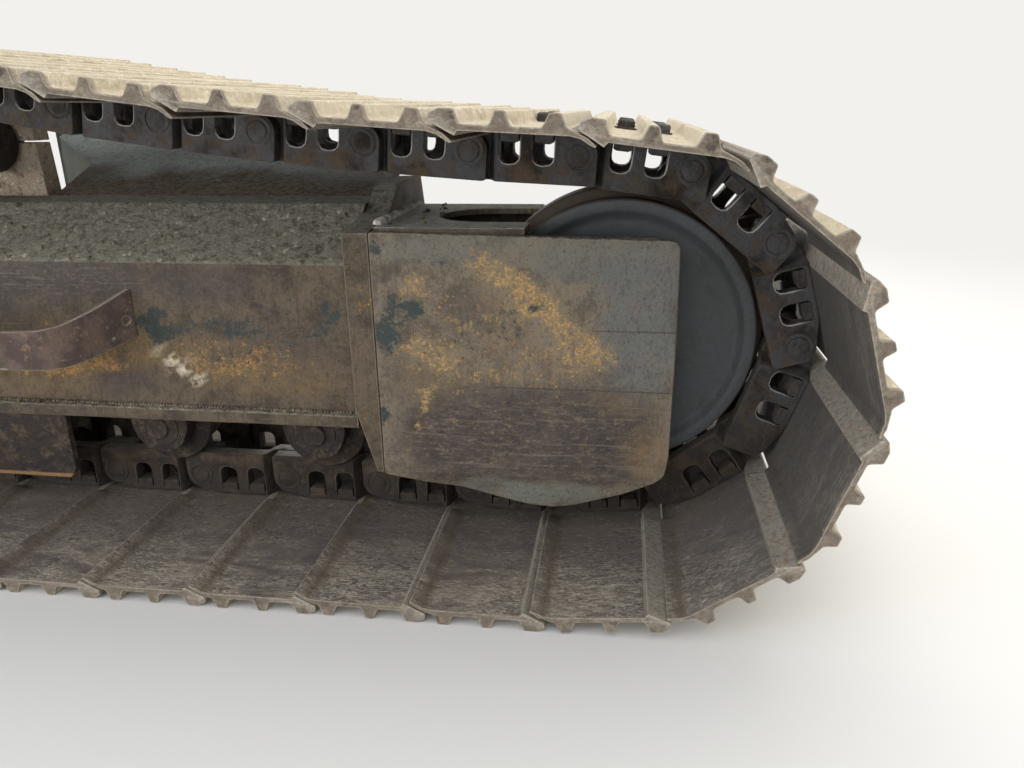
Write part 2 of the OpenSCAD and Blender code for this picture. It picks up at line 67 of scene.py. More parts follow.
def smooth(edge0, edge1, value):
    t = min(max((value - edge0) / (edge1 - edge0), 0), 1)
    return t * t * (3 - 2 * t)


def boxCentre(node):
    low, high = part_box(node)
    return (low + high) / 2 / mm


idlerX, idlerZ = boxCentre("idler_axle").x, boxCentre("idler_axle").z


def makeObject(name, mesh):
    piece = bpy.data.objects.new(name, mesh)
    bpy.context.collection.objects.link(piece)
    return piece


def meshFrom(name, points, faces):
    mesh = bpy.data.meshes.new(name)
    mesh.from_pydata([Vector(p) * mm for p in points], [], faces)
    return mesh


def tidyMesh(mesh, sharpAngle=34, flip=True):
    work = bmesh.new()
    work.from_mesh(mesh)
    bmesh.ops.remove_doubles(work, verts=work.verts, dist=0.02 * mm)
    if flip:
        bmesh.ops.recalc_face_normals(work, faces=work.faces)
    work.to_mesh(mesh)
    work.free()
    mesh.shade_smooth()
    mesh.set_sharp_from_angle(angle=math.radians(sharpAngle))
    return mesh


def bakedMesh(piece):
    bpy.context.view_layer.update()
    graph = bpy.context.evaluated_depsgraph_get()
    return bpy.data.meshes.new_from_object(piece.evaluated_get(graph), preserve_all_data_layers=True,
                                           depsgraph=graph)


def applyModifiers(piece):
    made = bakedMesh(piece)
    piece.modifiers.clear()
    piece.data = made
    return piece


def joinMeshes(name, meshes):
    work = bmesh.new()
    for mesh in meshes:
        work.from_mesh(mesh)
    joined = bpy.data.meshes.new(name)
    work.to_mesh(joined)
    work.free()
    return joined


def mirrored(mesh):
    copy = mesh.copy()
    copy.transform(Matrix.Scale(-1, 4, (0, 1, 0)))
    copy.flip_normals()
    return copy


# flat faces keep their own normal beside an eased edge
def weightNormals(piece):
    piece.modifiers.new("flatFaces", "WEIGHTED_NORMAL").keep_sharp = True
    return applyModifiers(piece)


def finishPiece(piece, material, slot, *nodes, body=trackBody):
    weightNormals(piece)
    piece.data.materials.clear()
    piece.data.materials.append(material)
    if nodes:
        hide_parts(*nodes)
    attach(piece, body)
    return piece


def roundCorners(outline, radii, steps=3):
    made = []
    for i, corner in enumerate(outline):
        radius = radii[i] if isinstance(radii, (list, tuple)) else radii
        here = Vector(corner)
        back, ahead = Vector(outline[i - 1]) - here, Vector(outline[(i + 1) % len(outline)]) - here
        angle = back.angle(ahead)
        reach = 0 if angle > 3.1 else min(radius / math.tan(angle / 2), back.length * 0.48, ahead.length * 0.48)
        if reach < 0.05:
            made.append(tuple(here))
            continue
        start, end = here + back.normalized() * reach, here + ahead.normalized() * reach
        for s in range(steps + 1):
            t = s / steps
            made.append(tuple(start * (1 - t) ** 2 + here * 2 * t * (1 - t) + end * t * t))
    return made


# a revolved mesh about an axle along Y; the profile is radius and y, the centre x and z
def latheMesh(name, profile, segments=64, centre=(0, 0), closed=False, turn=0):
    points, faces = [], []
    for radius, y in profile:
        for k in range(segments):
            a = 2 * math.pi * k / segments + turn
            points.append((centre[0] + radius * math.sin(a), y, centre[1] + radius * math.cos(a)))
    rows = len(profile)
    for i in range(rows if closed else rows - 1):
        for k in range(segments):
            n, up = (k + 1) % segments, (i + 1) % rows
            faces.append((i * segments + k, i * segments + n, up * segments + n, up * segments + k))
    return tidyMesh(meshFrom(name, points, faces))


# a plate cut to an outline in x and z, with eased edges and any holes, from y0 to y1
def plateMesh(name, outline, y0, y1, ease=1.5, holes=(), rings=2):
    curve = bpy.data.curves.new(name, "CURVE")
    curve.dimensions, curve.fill_mode = "2D", "BOTH"
    curve.extrude = ((y1 - y0) / 2 - ease) * mm
    curve.bevel_depth, curve.bevel_resolution, curve.offset = ease * mm, rings, -ease * mm
    for ring in [outline, *holes]:
        spline = curve.splines.new("POLY")
        spline.points.add(len(ring) - 1)
        for point, (x, z) in zip(spline.points, ring):
            point.co = (x * mm, z * mm, 0, 1)
        spline.use_cyclic_u = True
    holder = makeObject(name, curve)
    mesh = bakedMesh(holder)
    bpy.data.objects.remove(holder)
    mesh.transform(Matrix(((1, 0, 0, 0), (0, 0, -1, (y0 + y1) / 2 * mm), (0, 1, 0, 0), (0, 0, 0, 1))))
    return tidyMesh(mesh)


# cuts a mesh along planes, so that it can be bent or dented between them
def diceMesh(mesh, axis, places):
    work = bmesh.new()
    work.from_mesh(mesh)
    normal = Vector((0, 0, 0))
    normal[axis] = 1
    for place in places:
        bmesh.ops.bisect_plane(work, geom=work.verts[:] + work.edges[:] + work.faces[:], dist=1e-6,
                               plane_co=normal * place * mm, plane_no=normal)
    work.to_mesh(mesh)
    work.free()
    return mesh


def moveVertices(mesh, shift):
    for vertex in mesh.vertices:
        vertex.co += Vector(shift(*(vertex.co / mm))) * mm
    mesh.update()
    return mesh


# the CAD solid itself, merged, with eased edges
def easedCopy(node, ease=2, segments=2, angle=28):
    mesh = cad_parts[node].data.copy()
    mesh.name = node + "_eased"
    work = bmesh.new()
    work.from_mesh(mesh)
    bmesh.ops.remove_doubles(work, verts=work.verts, dist=0.02 * mm)
    bmesh.ops.dissolve_limit(work, angle_limit=math.radians(1), verts=work.verts, edges=work.edges)
    work.to_mesh(mesh)
    work.free()
    piece = makeObject(mesh.name, mesh)
    bevel = piece.modifiers.new("ease", "BEVEL")
    bevel.width, bevel.segments = ease * mm, segments
    bevel.limit_method, bevel.angle_limit = "ANGLE", math.radians(angle)
    made = bakedMesh(piece)
    bpy.data.objects.remove(piece)
    return tidyMesh(made, flip=False)


def startMaterial(name):
    material = bpy.data.materials.new(name)
    material.use_nodes = True
    material.node_tree.nodes.clear()
    return material, material.node_tree


# where a pattern is read: the row frame, or the copy's own frame shifted by its seed
def patternPlace(tree, onCopies=False, attribute="local"):
    if not onCopies:
        return addNode(tree, "ShaderNodeTexCoord").outputs["Object"]
    local = addNode(tree, "ShaderNodeAttribute", attribute_name=attribute)
    seed = addNode(tree, "ShaderNodeAttribute", attribute_name="copySeed")
    away = addNode(tree, "ShaderNodeVectorMath", {0: seed.outputs["Fac"], 1: (9, 5, 7)}, operation="MULTIPLY")
    return addNode(tree, "ShaderNodeVectorMath", {0: local.outputs["Vector"], 1: away.outputs[0]},
                   operation="ADD").outputs[0]


# a mask of patches about so many mm across; low and high are where the noise turns from 0 to 1
def patchMask(tree, place, size, low, high, detail=5, rough=0.6, stretch=(1, 1, 1), warp=0):
    where = addNode(tree, "ShaderNodeMapping", {"Vector": place, "Scale": stretch}).outputs[0]
    cloud = addNode(tree, "ShaderNodeTexNoise", {"Vector": where, "Scale": 1 / (size * mm), "Detail": detail,
                                                 "Roughness": rough, "Distortion": warp})
    return addNode(tree, "ShaderNodeMapRange", {"Value": cloud.outputs["Fac"], "From Min": low, "From Max": high},
                   interpolation_type="SMOOTHSTEP").outputs[0]


def times(tree, a, b):
    return addNode(tree, "ShaderNodeMath", {0: a, 1: b}, operation="MULTIPLY", use_clamp=True).outputs[0]


# where an edge is rubbed: the rounded normal departs from the face's own
def edgeMask(tree, radius, low=0.985, high=0.9):
    rounded = addNode(tree, "ShaderNodeBevel", {"Radius": radius * mm}, samples=4)
    surface = addNode(tree, "ShaderNodeNewGeometry")
    facing = addNode(tree, "ShaderNodeVectorMath", {0: rounded.outputs[0], 1: surface.outputs["Normal"]},
                     operation="DOT_PRODUCT")
    return addNode(tree, "ShaderNodeMapRange", {"Value": facing.outputs["Value"], "From Min": low,
                                                "From Max": high}).outputs[0]


# how far a face looks up: 0 on walls and undersides, 1 on level tops
def upMask(tree, low=0.3, high=0.8):
    surface = addNode(tree, "ShaderNodeNewGeometry")
    parts = addNode(tree, "ShaderNodeSeparateXYZ", {0: surface.outputs["Normal"]})
    return addNode(tree, "ShaderNodeMapRange", {"Value": parts.outputs["Z"], "From Min": low,
                                                "From Max": high}).outputs[0]


# one coat is a colour, a roughness and how metallic it is
def coat(colour, rough, metal=0.0):
    return [hexToLinear(colour) if isinstance(colour, str) else colour, rough, metal]


# lays one coat over another where the mask is 1
def layOver(tree, below, above, mask):
    mixed = addNode(tree, "ShaderNodeMix", {"Factor": mask}, data_type="RGBA")
    for socket, value in ((mixed.inputs[6], below[0]), (mixed.inputs[7], above[0])):
        if isinstance(value, bpy.types.NodeSocket):
            tree.links.new(value, socket)
        else:
            socket.default_value = value
    made = [mixed.outputs[2]]
    for low, high in zip(below[1:], above[1:]):
        if low == high:
            made.append(low)
            continue
        made.append(addNode(tree, "ShaderNodeMix", {"Factor": mask, "A": low, "B": high},
                            data_type="FLOAT").outputs[0])
    return made


# speckles a coat's colour lighter and darker with a grain of so many mm
def speckle(tree, below, place, size, amount):
    grain = addNode(tree, "ShaderNodeTexNoise", {"Vector": place, "Scale": 1 / (size * mm), "Detail": 3,
                                                 "Roughness": 0.7})
    value = addNode(tree, "ShaderNodeMapRange", {"Value": grain.outputs["Fac"], "From Min": 0.25, "From Max": 0.75,
                                                 "To Min": 1 - amount, "To Max": 1 + amount})
    made = addNode(tree, "ShaderNodeVectorMath", {0: below[0], "Scale": value.outputs[0]}, operation="SCALE")
    return [made.outputs[0], *below[1:]]


def closeMaterial(tree, top, heights, gloss=0.5):
    shader = addNode(tree, "ShaderNodeBsdfPrincipled", {"Base Color": top[0], "Roughness": top[1],
                                                        "Metallic": top[2], "Specular IOR Level": gloss})
    normal = None
    for height, depth in heights:
        bump = addNode(tree, "ShaderNodeBump", {"Height": height, "Distance": depth * mm, "Strength": 1.0})
        if normal is not None:
            tree.links.new(normal, bump.inputs["Normal"])
        normal = bump.outputs[0]
    if normal is not None:
        tree.links.new(normal, shader.inputs["Normal"])
    output = addNode(tree, "ShaderNodeOutputMaterial")
    tree.links.new(shader.outputs[0], output.inputs[0])


# a value painted on the piece's own mesh, 0 where none is
def painted(tree, name):
    return addNode(tree, "ShaderNodeAttribute", attribute_name=name).outputs["Fac"]


# thin wavy lines, where the noise crosses its middle
def veinMask(tree, place, size, width, detail=4, rough=0.6, stretch=(1, 1, 1), warp=1.0):
    where = addNode(tree, "ShaderNodeMapping", {"Vector": place, "Scale": stretch}).outputs[0]
    cloud = addNode(tree, "ShaderNodeTexNoise", {"Vector": where, "Scale": 1 / (size * mm), "Detail": detail,
                                                 "Roughness": rough, "Distortion": warp})
    away = addNode(tree, "ShaderNodeMath", {0: cloud.outputs["Fac"], 1: 0.5}, operation="SUBTRACT").outputs[0]
    off = addNode(tree, "ShaderNodeMath", {0: away}, operation="ABSOLUTE").outputs[0]
    return addNode(tree, "ShaderNodeMapRange", {"Value": off, "From Min": width, "From Max": width * 0.2},
                   interpolation_type="SMOOTHSTEP").outputs[0]


# flecks about so many mm across, the denser the stronger the zone
def fleckMask(tree, place, zone, size, keep=0.28, high=0.68, detail=4, rough=0.72, stretch=(1, 1, 1)):
    where = addNode(tree, "ShaderNodeMapping", {"Vector": place, "Scale": stretch}).outputs[0]
    cloud = addNode(tree, "ShaderNodeTexNoise", {"Vector": where, "Scale": 1 / (size * mm), "Detail": detail,
                                                 "Roughness": rough})
    value = addNode(tree, "ShaderNodeMath", {0: zone, 1: keep, 2: cloud.outputs["Fac"]}, operation="MULTIPLY_ADD")
    return addNode(tree, "ShaderNodeMapRange", {"Value": value.outputs[0], "From Min": high - 0.07,
                                                "From Max": high}).outputs[0]


# where a film is strong: painted on the piece, and in soft patches over the faces that aren't painted from listed
# spots
def zoneOf(tree, place, key, size, low, share):
    field = painted(tree, key)
    if not share:
        return field
    free = addNode(tree, "ShaderNodeMath", {0: share, 1: painted(tree, "byHand")}, operation="SUBTRACT",
                   use_clamp=True).outputs[0]
    patches = times(tree, patchMask(tree, place, size, low, low + 0.14, detail=3, warp=0.4), free)
    return addNode(tree, "ShaderNodeMath", {0: field, 1: patches}, operation="ADD", use_clamp=True).outputs[0]


# Rolled manganese-steel shoes: grey-purple scale inside under wrinkled dust, cream dust on the ground side
def shoeSteel():
    material, tree = startMaterial("rolledSteelShoesDusty")
    place = patternPlace(tree, onCopies=True)
    own = addNode(tree, "ShaderNodeAttribute", attribute_name="local").outputs["Vector"]
    worn, ground = painted(tree, "worn"), painted(tree, "ground")
    parts = addNode(tree, "ShaderNodeSeparateXYZ", {0: own})
    across = addNode(tree, "ShaderNodeMath", {0: parts.outputs["Y"]}, operation="ABSOLUTE").outputs[0]
    inner = addNode(tree, "ShaderNodeMapRange", {"Value": across, "From Min": 0.30, "From Max": 0.12},
                    interpolation_type="SMOOTHSTEP").outputs[0]
    outer = addNode(tree, "ShaderNodeMapRange", {"Value": across, "From Min": 0.20, "From Max": 0.43,
                                                 "To Min": 0.22}, interpolation_type="SMOOTHSTEP").outputs[0]
    look = coat("#5c5252", 0.6, 0.0)
    look = layOver(tree, look, coat("#6d6259", 0.75), patchMask(tree, place, 70, 0.42, 0.62, detail=8, rough=0.7))
    look = layOver(tree, look, coat("#62574b", 0.85), times(tree, inner, patchMask(tree, place, 60, 0.25, 0.55)))
    film = patchMask(tree, place, 70, 0.40, 0.62, detail=8, rough=0.66, stretch=(0.6, 1.5, 1), warp=0.9)
    look = layOver(tree, look, coat("#857b6d", 0.8), times(tree, film, outer))
    wrinkles = veinMask(tree, place, 24, 0.065, detail=7, rough=0.7, stretch=(0.5, 1.9, 1), warp=2.4)
    spread = patchMask(tree, place, 110, 0.34, 0.58, detail=4)
    look = layOver(tree, look, coat("#bdb3a1", 0.8), times(tree, times(tree, wrinkles, spread), outer))
    gaps = veinMask(tree, place, 15, 0.06, detail=6, rough=0.7, stretch=(0.5, 1.7, 1), warp=2.0)
    look = layOver(tree, look, coat("#3f3736", 0.8), times(tree, times(tree, gaps, spread), 0.7))
    fine = fleckMask(tree, place, times(tree, film, outer), 6, keep=0.14, high=0.70, stretch=(0.5, 1.6, 1))
    look = layOver(tree, look, coat("#b5ab9a", 0.8), times(tree, fine, 0.8))
    dust = layOver(tree, coat("#d0c4ab", 0.9), coat("#b6a98f", 0.9),
                   patchMask(tree, place, 40, 0.48, 0.70, stretch=(1.6, 0.45, 1)))
    dust = layOver(tree, dust, coat("#c4a88f", 0.9), times(tree, patchMask(tree, place, 34, 0.55, 0.72,
                                                                        stretch=(2.2, 0.4, 1)), 0.6))
    dust = layOver(tree, dust, coat("#e6dcc4", 0.9), patchMask(tree, place, 12, 0.54, 0.7, stretch=(1.6, 0.6, 1)))
    look = layOver(tree, look, dust, ground)
    # painted shade: the lip's underside, out of the dust, is painted dark brown where it lies in shade
    brown = layOver(tree, coat("#6a5c4a", 0.85), coat("#55493c", 0.85), patchMask(tree, place, 26, 0.42, 0.62))
    under = addNode(tree, "ShaderNodeMath", {0: painted(tree, "lip"), 1: ground}, operation="SUBTRACT", use_clamp=True)
    look = layOver(tree, look, brown, under.outputs[0])
    ends = addNode(tree, "ShaderNodeMapRange", {"Value": across, "From Min": 0.4475, "From Max": 0.4490}).outputs[0]
    endCoat = layOver(tree, coat("#75695b", 0.85), coat("#8a7f6e", 0.9), patchMask(tree, place, 15, 0.45, 0.65))
    look = layOver(tree, look, layOver(tree, endCoat, coat("#52483d", 0.85), patchMask(tree, place, 24, 0.56, 0.7)),
                   ends)
    # the tail is rubbed by the next lip: pale grey-tan, with rust towards its ends
    rubbed = layOver(tree, coat("#a59d90", 0.6), coat("#82786a", 0.8), patchMask(tree, place, 9, 0.46, 0.64, detail=7, rough=0.8))
    rubbed = layOver(tree, rubbed, coat("#9a7450", 0.8), times(tree, outer, patchMask(tree, place, 10, 0.56, 0.68)))
    look = layOver(tree, look, rubbed, worn)
    # round the idler the shoes are darker and greyer
    along = addNode(tree, "ShaderNodeSeparateXYZ", {0: patternPlace(tree)}).outputs["X"]
    bent = addNode(tree, "ShaderNodeMapRange", {"Value": along, "From Min": (idlerX + 60) * mm,
                                                "From Max": (idlerX + 300) * mm}).outputs[0]
    inside = addNode(tree, "ShaderNodeMath", {0: bent, 1: painted(tree, "inside")}, operation="MULTIPLY").outputs[0]
    look = layOver(tree, look, coat("#4f4f4d", 0.6), times(tree, inside, 0.62))
    edges = times(tree, edgeMask(tree, 3.4, 0.988, 0.92), patchMask(tree, place, 14, 0.2, 0.5))
    look = layOver(tree, look, coat("#bdb3a0", 0.6), times(tree, edges, 0.85))
    look = speckle(tree, look, place, 3.5, 0.2)
    closeMaterial(tree, look, [(patchMask(tree, place, 30, 0.3, 0.7, detail=8), 1.6), (wrinkles, 0.5)])
    return material


# Forged chain links: dark slate skin, grease and brown dirt, rims of the windows rubbed bright and given a painted
# highlight
def chainSteel():
    material, tree = startMaterial("forgedChainSteelGreasy")
    place = patternPlace(tree, onCopies=True)
    worn, rim = painted(tree, "worn"), painted(tree, "rim")
    own = addNode(tree, "ShaderNodeAttribute", attribute_name="local").outputs["Vector"]
    height = addNode(tree, "ShaderNodeSeparateXYZ", {0: own}).outputs["Z"]
    railSide = addNode(tree, "ShaderNodeMapRange", {"Value": height, "From Min": -0.01, "From Max": 0.035}).outputs[0]
    # the links of the lower run are dirty and painted darker as shade under the frame, those above it are rubbed
    # cleaner and lighter
    lift = addNode(tree, "ShaderNodeSeparateXYZ", {0: patternPlace(tree)}).outputs["Z"]
    raisedCleanerAndLit = addNode(tree, "ShaderNodeMapRange", {"Value": lift, "From Min": 0.15, "From Max": 0.34}).outputs[0]
    look = layOver(tree, coat("#39322c", 0.7, 0.0), coat("#4a4a4a", 0.5, 0.0), raisedCleanerAndLit)
    look = layOver(tree, look, coat("#2e2823", 0.8), patchMask(tree, place, 80, 0.42, 0.64, detail=8, rough=0.7))
    look = layOver(tree, look, coat("#54473a", 0.9), times(tree, railSide, patchMask(tree, place, 34, 0.44, 0.66)))
    look = layOver(tree, look, coat("#4f4335", 0.9), patchMask(tree, place, 18, 0.54, 0.68, detail=8, rough=0.74))
    look = layOver(tree, look, coat("#6b675e", 0.45, 0.3), times(tree, worn, patchMask(tree, place, 20, 0.2, 0.5)))
    edges = times(tree, edgeMask(tree, 2), patchMask(tree, place, 40, 0.45, 0.62))
    look = layOver(tree, look, coat("#79736a", 0.45, 0.3), times(tree, edges, 0.6))
    # painted highlight on the window rims: strong on the top run and the wrap, faint on the lower run
    rimHighlightByHeight = addNode(tree, "ShaderNodeMapRange", {"Value": raisedCleanerAndLit, "To Min": 0.12, "To Max": 1.0}).outputs[0]
    look = layOver(tree, look, coat("#c6c4bd", 0.4, 0.2), times(tree, rim, rimHighlightByHeight))
    look = speckle(tree, look, place, 3, 0.16)
    closeMaterial(tree, look, [(patchMask(tree, place, 14, 0.3, 0.7, detail=6), 1.3)], gloss=0.2)
    return material


# Forged rollers and idler: dark slate skin with brown dirt on the treads
def rollerSteel(name, skin="#484b4c", dirt="#443f39", dirtLow=0.5, wornColour="#4f4338", mottle=0.0,
                onCopies=False):
    material, tree = startMaterial(name)
    place = patternPlace(tree, onCopies)
    worn = painted(tree, "worn")
    look = coat(skin, 0.55, 0.0)
    look = layOver(tree, look, coat(dirt, 0.85), patchMask(tree, place, 90, dirtLow, dirtLow + 0.25, detail=8,
                                                            rough=0.68))
    if mottle:
        crust = patchMask(tree, place, 26, 0.5, 0.62, detail=8, rough=0.76)
        look = layOver(tree, look, coat("#5e4f3f", 0.9), times(tree, crust, mottle))
        holes = patchMask(tree, place, 14, 0.56, 0.66, detail=8, rough=0.76)
        look = layOver(tree, look, coat("#211c1a", 0.85), times(tree, holes, mottle))
    look = layOver(tree, look, coat(wornColour, 0.8), worn)
    look = layOver(tree, look, coat("#6f6558", 0.85), times(tree, fleckMask(tree, place, 0.0, 7, high=0.70), 0.7))
    edges = times(tree, edgeMask(tree, 2), patchMask(tree, place, 40, 0.35, 0.6))
    look = layOver(tree, look, coat("#807b73", 0.5, 0.3), times(tree, edges, 0.6))
    look = speckle(tree, look, place, 4, 0.14)
    closeMaterial(tree, look, [(patchMask(tree, place, 20, 0.3, 0.7, detail=6), 0.7 + mottle)],
                  gloss=0.2 if mottle else 0.5)
    return material


# Worn enamel on steel plate: yellow-orange left in flecks, dark primer, purple-brown scraped steel, dusty film
def wornEnamel(name, film="#6c6150", filmDark="#4a4136", yellow="#bd9760", yellowDeep="#86704b", primer="#28322f",
               scraped="#3b312e", dusty="#726d62", top="#b1ab98", topDark="#757060", brushColour="#776d5c",
               pitColour="#423a30", shares=(0.7, 0.5, 0.6)):
    material, tree = startMaterial(name)
    place = patternPlace(tree)
    yellowZone = zoneOf(tree, place, "yellow", 230, 0.5, shares[0])
    primerZone = zoneOf(tree, place, "primer", 170, 0.54, shares[1])
    scrapedZone = zoneOf(tree, place, "scraped", 260, 0.5, shares[2])
    dustyZone = painted(tree, "dusty")
    look = coat(film, 0.72, 0.0)
    look = layOver(tree, look, coat(filmDark, 0.8), patchMask(tree, place, 60, 0.44, 0.62, detail=10, rough=0.8))
    upright = patchMask(tree, place, 11, 0.50, 0.62, detail=7, rough=0.82, stretch=(1.8, 1, 0.4))
    look = layOver(tree, look, coat(filmDark, 0.8), times(tree, upright, 0.7))
    bare = times(tree, scrapedZone, patchMask(tree, place, 60, 0.18, 0.42, detail=9, rough=0.78))
    look = layOver(tree, look, coat(scraped, 0.5), times(tree, bare, 0.92))
    brushed = patchMask(tree, place, 12, 0.54, 0.64, detail=8, rough=0.82, stretch=(0.3, 1, 1.5))
    look = layOver(tree, look, coat(brushColour, 0.75), times(tree, brushed, 0.5))
    blots = patchMask(tree, place, 34, 0.46, 0.6, detail=10, rough=0.8)
    look = layOver(tree, look, coat("#2c2523", 0.6), times(tree, bare, times(tree, blots, 0.7)))
    slate = times(tree, painted(tree, "slate"), patchMask(tree, place, 40, 0.22, 0.5, detail=8, rough=0.7))
    slateCoat = layOver(tree, coat("#62635f", 0.7), coat("#4a4844", 0.75),
                        patchMask(tree, place, 9, 0.50, 0.62, detail=7, rough=0.82, stretch=(1.5, 1, 0.5)))
    look = layOver(tree, look, slateCoat, slate)
    warm = times(tree, painted(tree, "warm"), patchMask(tree, place, 26, 0.3, 0.62, detail=9, rough=0.78))
    look = layOver(tree, look, coat("#7a6340", 0.75), times(tree, warm, 0.8))
    steel = times(tree, painted(tree, "steel"), patchMask(tree, place, 26, 0.3, 0.5, detail=6, stretch=(0.4, 1, 1)))
    look = layOver(tree, look, coat("#7b7d72", 0.45, 0.3), steel)
    cloud = patchMask(tree, place, 24, 0.3, 0.6, detail=8, rough=0.72)
    look = layOver(tree, look, coat(dusty, 0.85), times(tree, dustyZone, times(tree, cloud, 0.85)))
    # the enamel is left in fine flecks that thin out towards the edges of its zones
    gate = addNode(tree, "ShaderNodeMapRange", {"Value": yellowZone, "From Min": 0.02, "From Max": 0.25}).outputs[0]
    deep = times(tree, gate, fleckMask(tree, place, yellowZone, 15, keep=0.18, high=0.675, detail=10, rough=0.84))
    look = layOver(tree, look, coat(yellowDeep, 0.7), times(tree, deep, 0.85))
    light = times(tree, deep, fleckMask(tree, place, yellowZone, 4.2, keep=0.08, high=0.62, detail=6, rough=0.8))
    look = layOver(tree, look, coat(yellow, 0.65), times(tree, light, 0.75))
    stray = times(tree, patchMask(tree, place, 7, 0.62, 0.70, detail=6, rough=0.8), patchMask(tree, place, 110, 0.4, 0.6))
    look = layOver(tree, look, coat("#9c8157", 0.7), times(tree, stray, 0.75))
    pits = patchMask(tree, place, 7, 0.545, 0.62, detail=7, rough=0.82)
    look = layOver(tree, look, coat(pitColour, 0.85), times(tree, pits, 0.75))
    chips = fleckMask(tree, place, primerZone, 13, keep=0.24, high=0.67, detail=10, rough=0.84)
    look = layOver(tree, look, coat(primer, 0.6), times(tree, chips, addNode(
        tree, "ShaderNodeMapRange", {"Value": primerZone, "From Min": 0.03, "From Max": 0.2}).outputs[0]))
    scuff = times(tree, painted(tree, "scuff"), patchMask(tree, place, 16, 0.42, 0.56, detail=7, rough=0.7))
    look = layOver(tree, look, coat("#d2c6ac", 0.8), scuff)
    look = layOver(tree, look, coat("#3b332c", 0.8), times(tree, painted(tree, "scored"),
                                                          patchMask(tree, place, 60, 0.3, 0.5)))
    lines = fleckMask(tree, place, bare, 13, keep=0.10, high=0.72, detail=6, stretch=(0.10, 1, 2.4))
    look = layOver(tree, look, coat("#857a69", 0.7), times(tree, lines, 0.34))
    ochre = fleckMask(tree, place, bare, 9, keep=0.07, high=0.67, detail=8, rough=0.82, stretch=(0.7, 1, 1.2))
    look = layOver(tree, look, coat("#7d6a4e", 0.75), times(tree, ochre, times(tree, bare, 0.7)))
    grit = patchMask(tree, place, 5, 0.57, 0.67, detail=6, rough=0.8)
    look = layOver(tree, look, coat(dusty, 0.85), times(tree, grit, 0.5))
    # up-facing faces carry settled dust, and their pale top colours are also painted lighter as light on tops that lie
    # in shade under the top run
    mud = layOver(tree, coat(top, 0.95), coat(topDark, 0.95), patchMask(tree, place, 14, 0.46, 0.62, detail=8,
                                                                      rough=0.78))
    mud = layOver(tree, mud, coat("#aaa28d", 0.95), fleckMask(tree, place, 0.0, 6, high=0.66))
    look = layOver(tree, look, mud, upMask(tree, 0.25, 0.45))
    soil = layOver(tree, coat("#8f7e66", 0.95), coat("#635643", 0.95), patchMask(tree, place, 12, 0.44, 0.6, detail=7))
    look = layOver(tree, look, soil, times(tree, painted(tree, "soil"), patchMask(tree, place, 50, 0.16, 0.4, detail=8)))
    edges = times(tree, edgeMask(tree, 4), patchMask(tree, place, 60, 0.28, 0.5))
    look = layOver(tree, look, coat("#9b8f79", 0.75), times(tree, edges, 0.75))
    look = speckle(tree, look, place, 3, 0.18)
    closeMaterial(tree, look, [(times(tree, patchMask(tree, place, 16, 0.35, 0.7, detail=8, rough=0.75),
                                      upMask(tree, 0.25, 0.45)), 4.0),
                               (patchMask(tree, place, 8, 0.3, 0.7, detail=6), 0.6)])
    return material


# Rusted plate and bar: purple-brown rust, darker pits, pale rubbed edges
def rustySteel():
    material, tree = startMaterial("rustedSteelRubbed")
    place = patternPlace(tree)
    look = coat("#5f4f46", 0.85, 0.0)
    look = layOver(tree, look, coat("#4a3d38", 0.9), patchMask(tree, place, 40, 0.42, 0.6))
    look = layOver(tree, look, coat("#7c614b", 0.9), patchMask(tree, place, 14, 0.58, 0.70))
    look = layOver(tree, look, coat("#8f867a", 0.7), patchMask(tree, place, 26, 0.62, 0.72, stretch=(0.5, 1, 1)))
    look = layOver(tree, look, coat("#80766a", 0.95), upMask(tree, 0.4, 0.8))
    edges = times(tree, edgeMask(tree, 3), patchMask(tree, place, 40, 0.3, 0.55))
    look = layOver(tree, look, coat("#b5a894", 0.7), edges)
    look = speckle(tree, look, place, 4, 0.22)
    closeMaterial(tree, look, [(patchMask(tree, place, 7, 0.3, 0.7, detail=6), 0.9)])
    return material


# Sand casting: pale beige dust over light rust, rough grain
def castSteel():
    material, tree = startMaterial("castSteelRough")
    place = patternPlace(tree)
    look = coat("#b3a48d", 0.9, 0.0)
    look = layOver(tree, look, coat("#8b6c55", 0.9), patchMask(tree, place, 16, 0.52, 0.66))
    look = layOver(tree, look, coat("#d0c6b2", 0.9), patchMask(tree, place, 12, 0.55, 0.7))
    look = speckle(tree, look, place, 3, 0.3)
    closeMaterial(tree, look, [(patchMask(tree, place, 6, 0.3, 0.7, detail=5), 1.2)])
    return material


# Arc-weld bead: pale oxide on rippled steel
def weldSteel(name, bead, scale, bright):
    material, tree = startMaterial(name)
    place = patternPlace(tree)
    look = layOver(tree, coat(bead, 0.75, 0.0), coat(scale, 0.85), patchMask(tree, place, 30, 0.42, 0.6))
    look = layOver(tree, look, coat(bright, 0.6), patchMask(tree, place, 6, 0.55, 0.68))
    closeMaterial(tree, look, [(patchMask(tree, place, 4, 0.3, 0.7), 0.5)])
    return material


# Dried mud: matt, gritty, two browns and pale grit
def driedMud():
    material, tree = startMaterial("driedMudGritty")
    place = patternPlace(tree)
    look = layOver(tree, coat("#746b59", 0.97, 0.0), coat("#524a3c", 0.97), patchMask(tree, place, 26, 0.42, 0.6))
    look = layOver(tree, look, coat("#a49b85", 0.97), patchMask(tree, place, 7, 0.58, 0.7))
    closeMaterial(tree, look, [(patchMask(tree, place, 5, 0.3, 0.7), 0.8)])
    return material


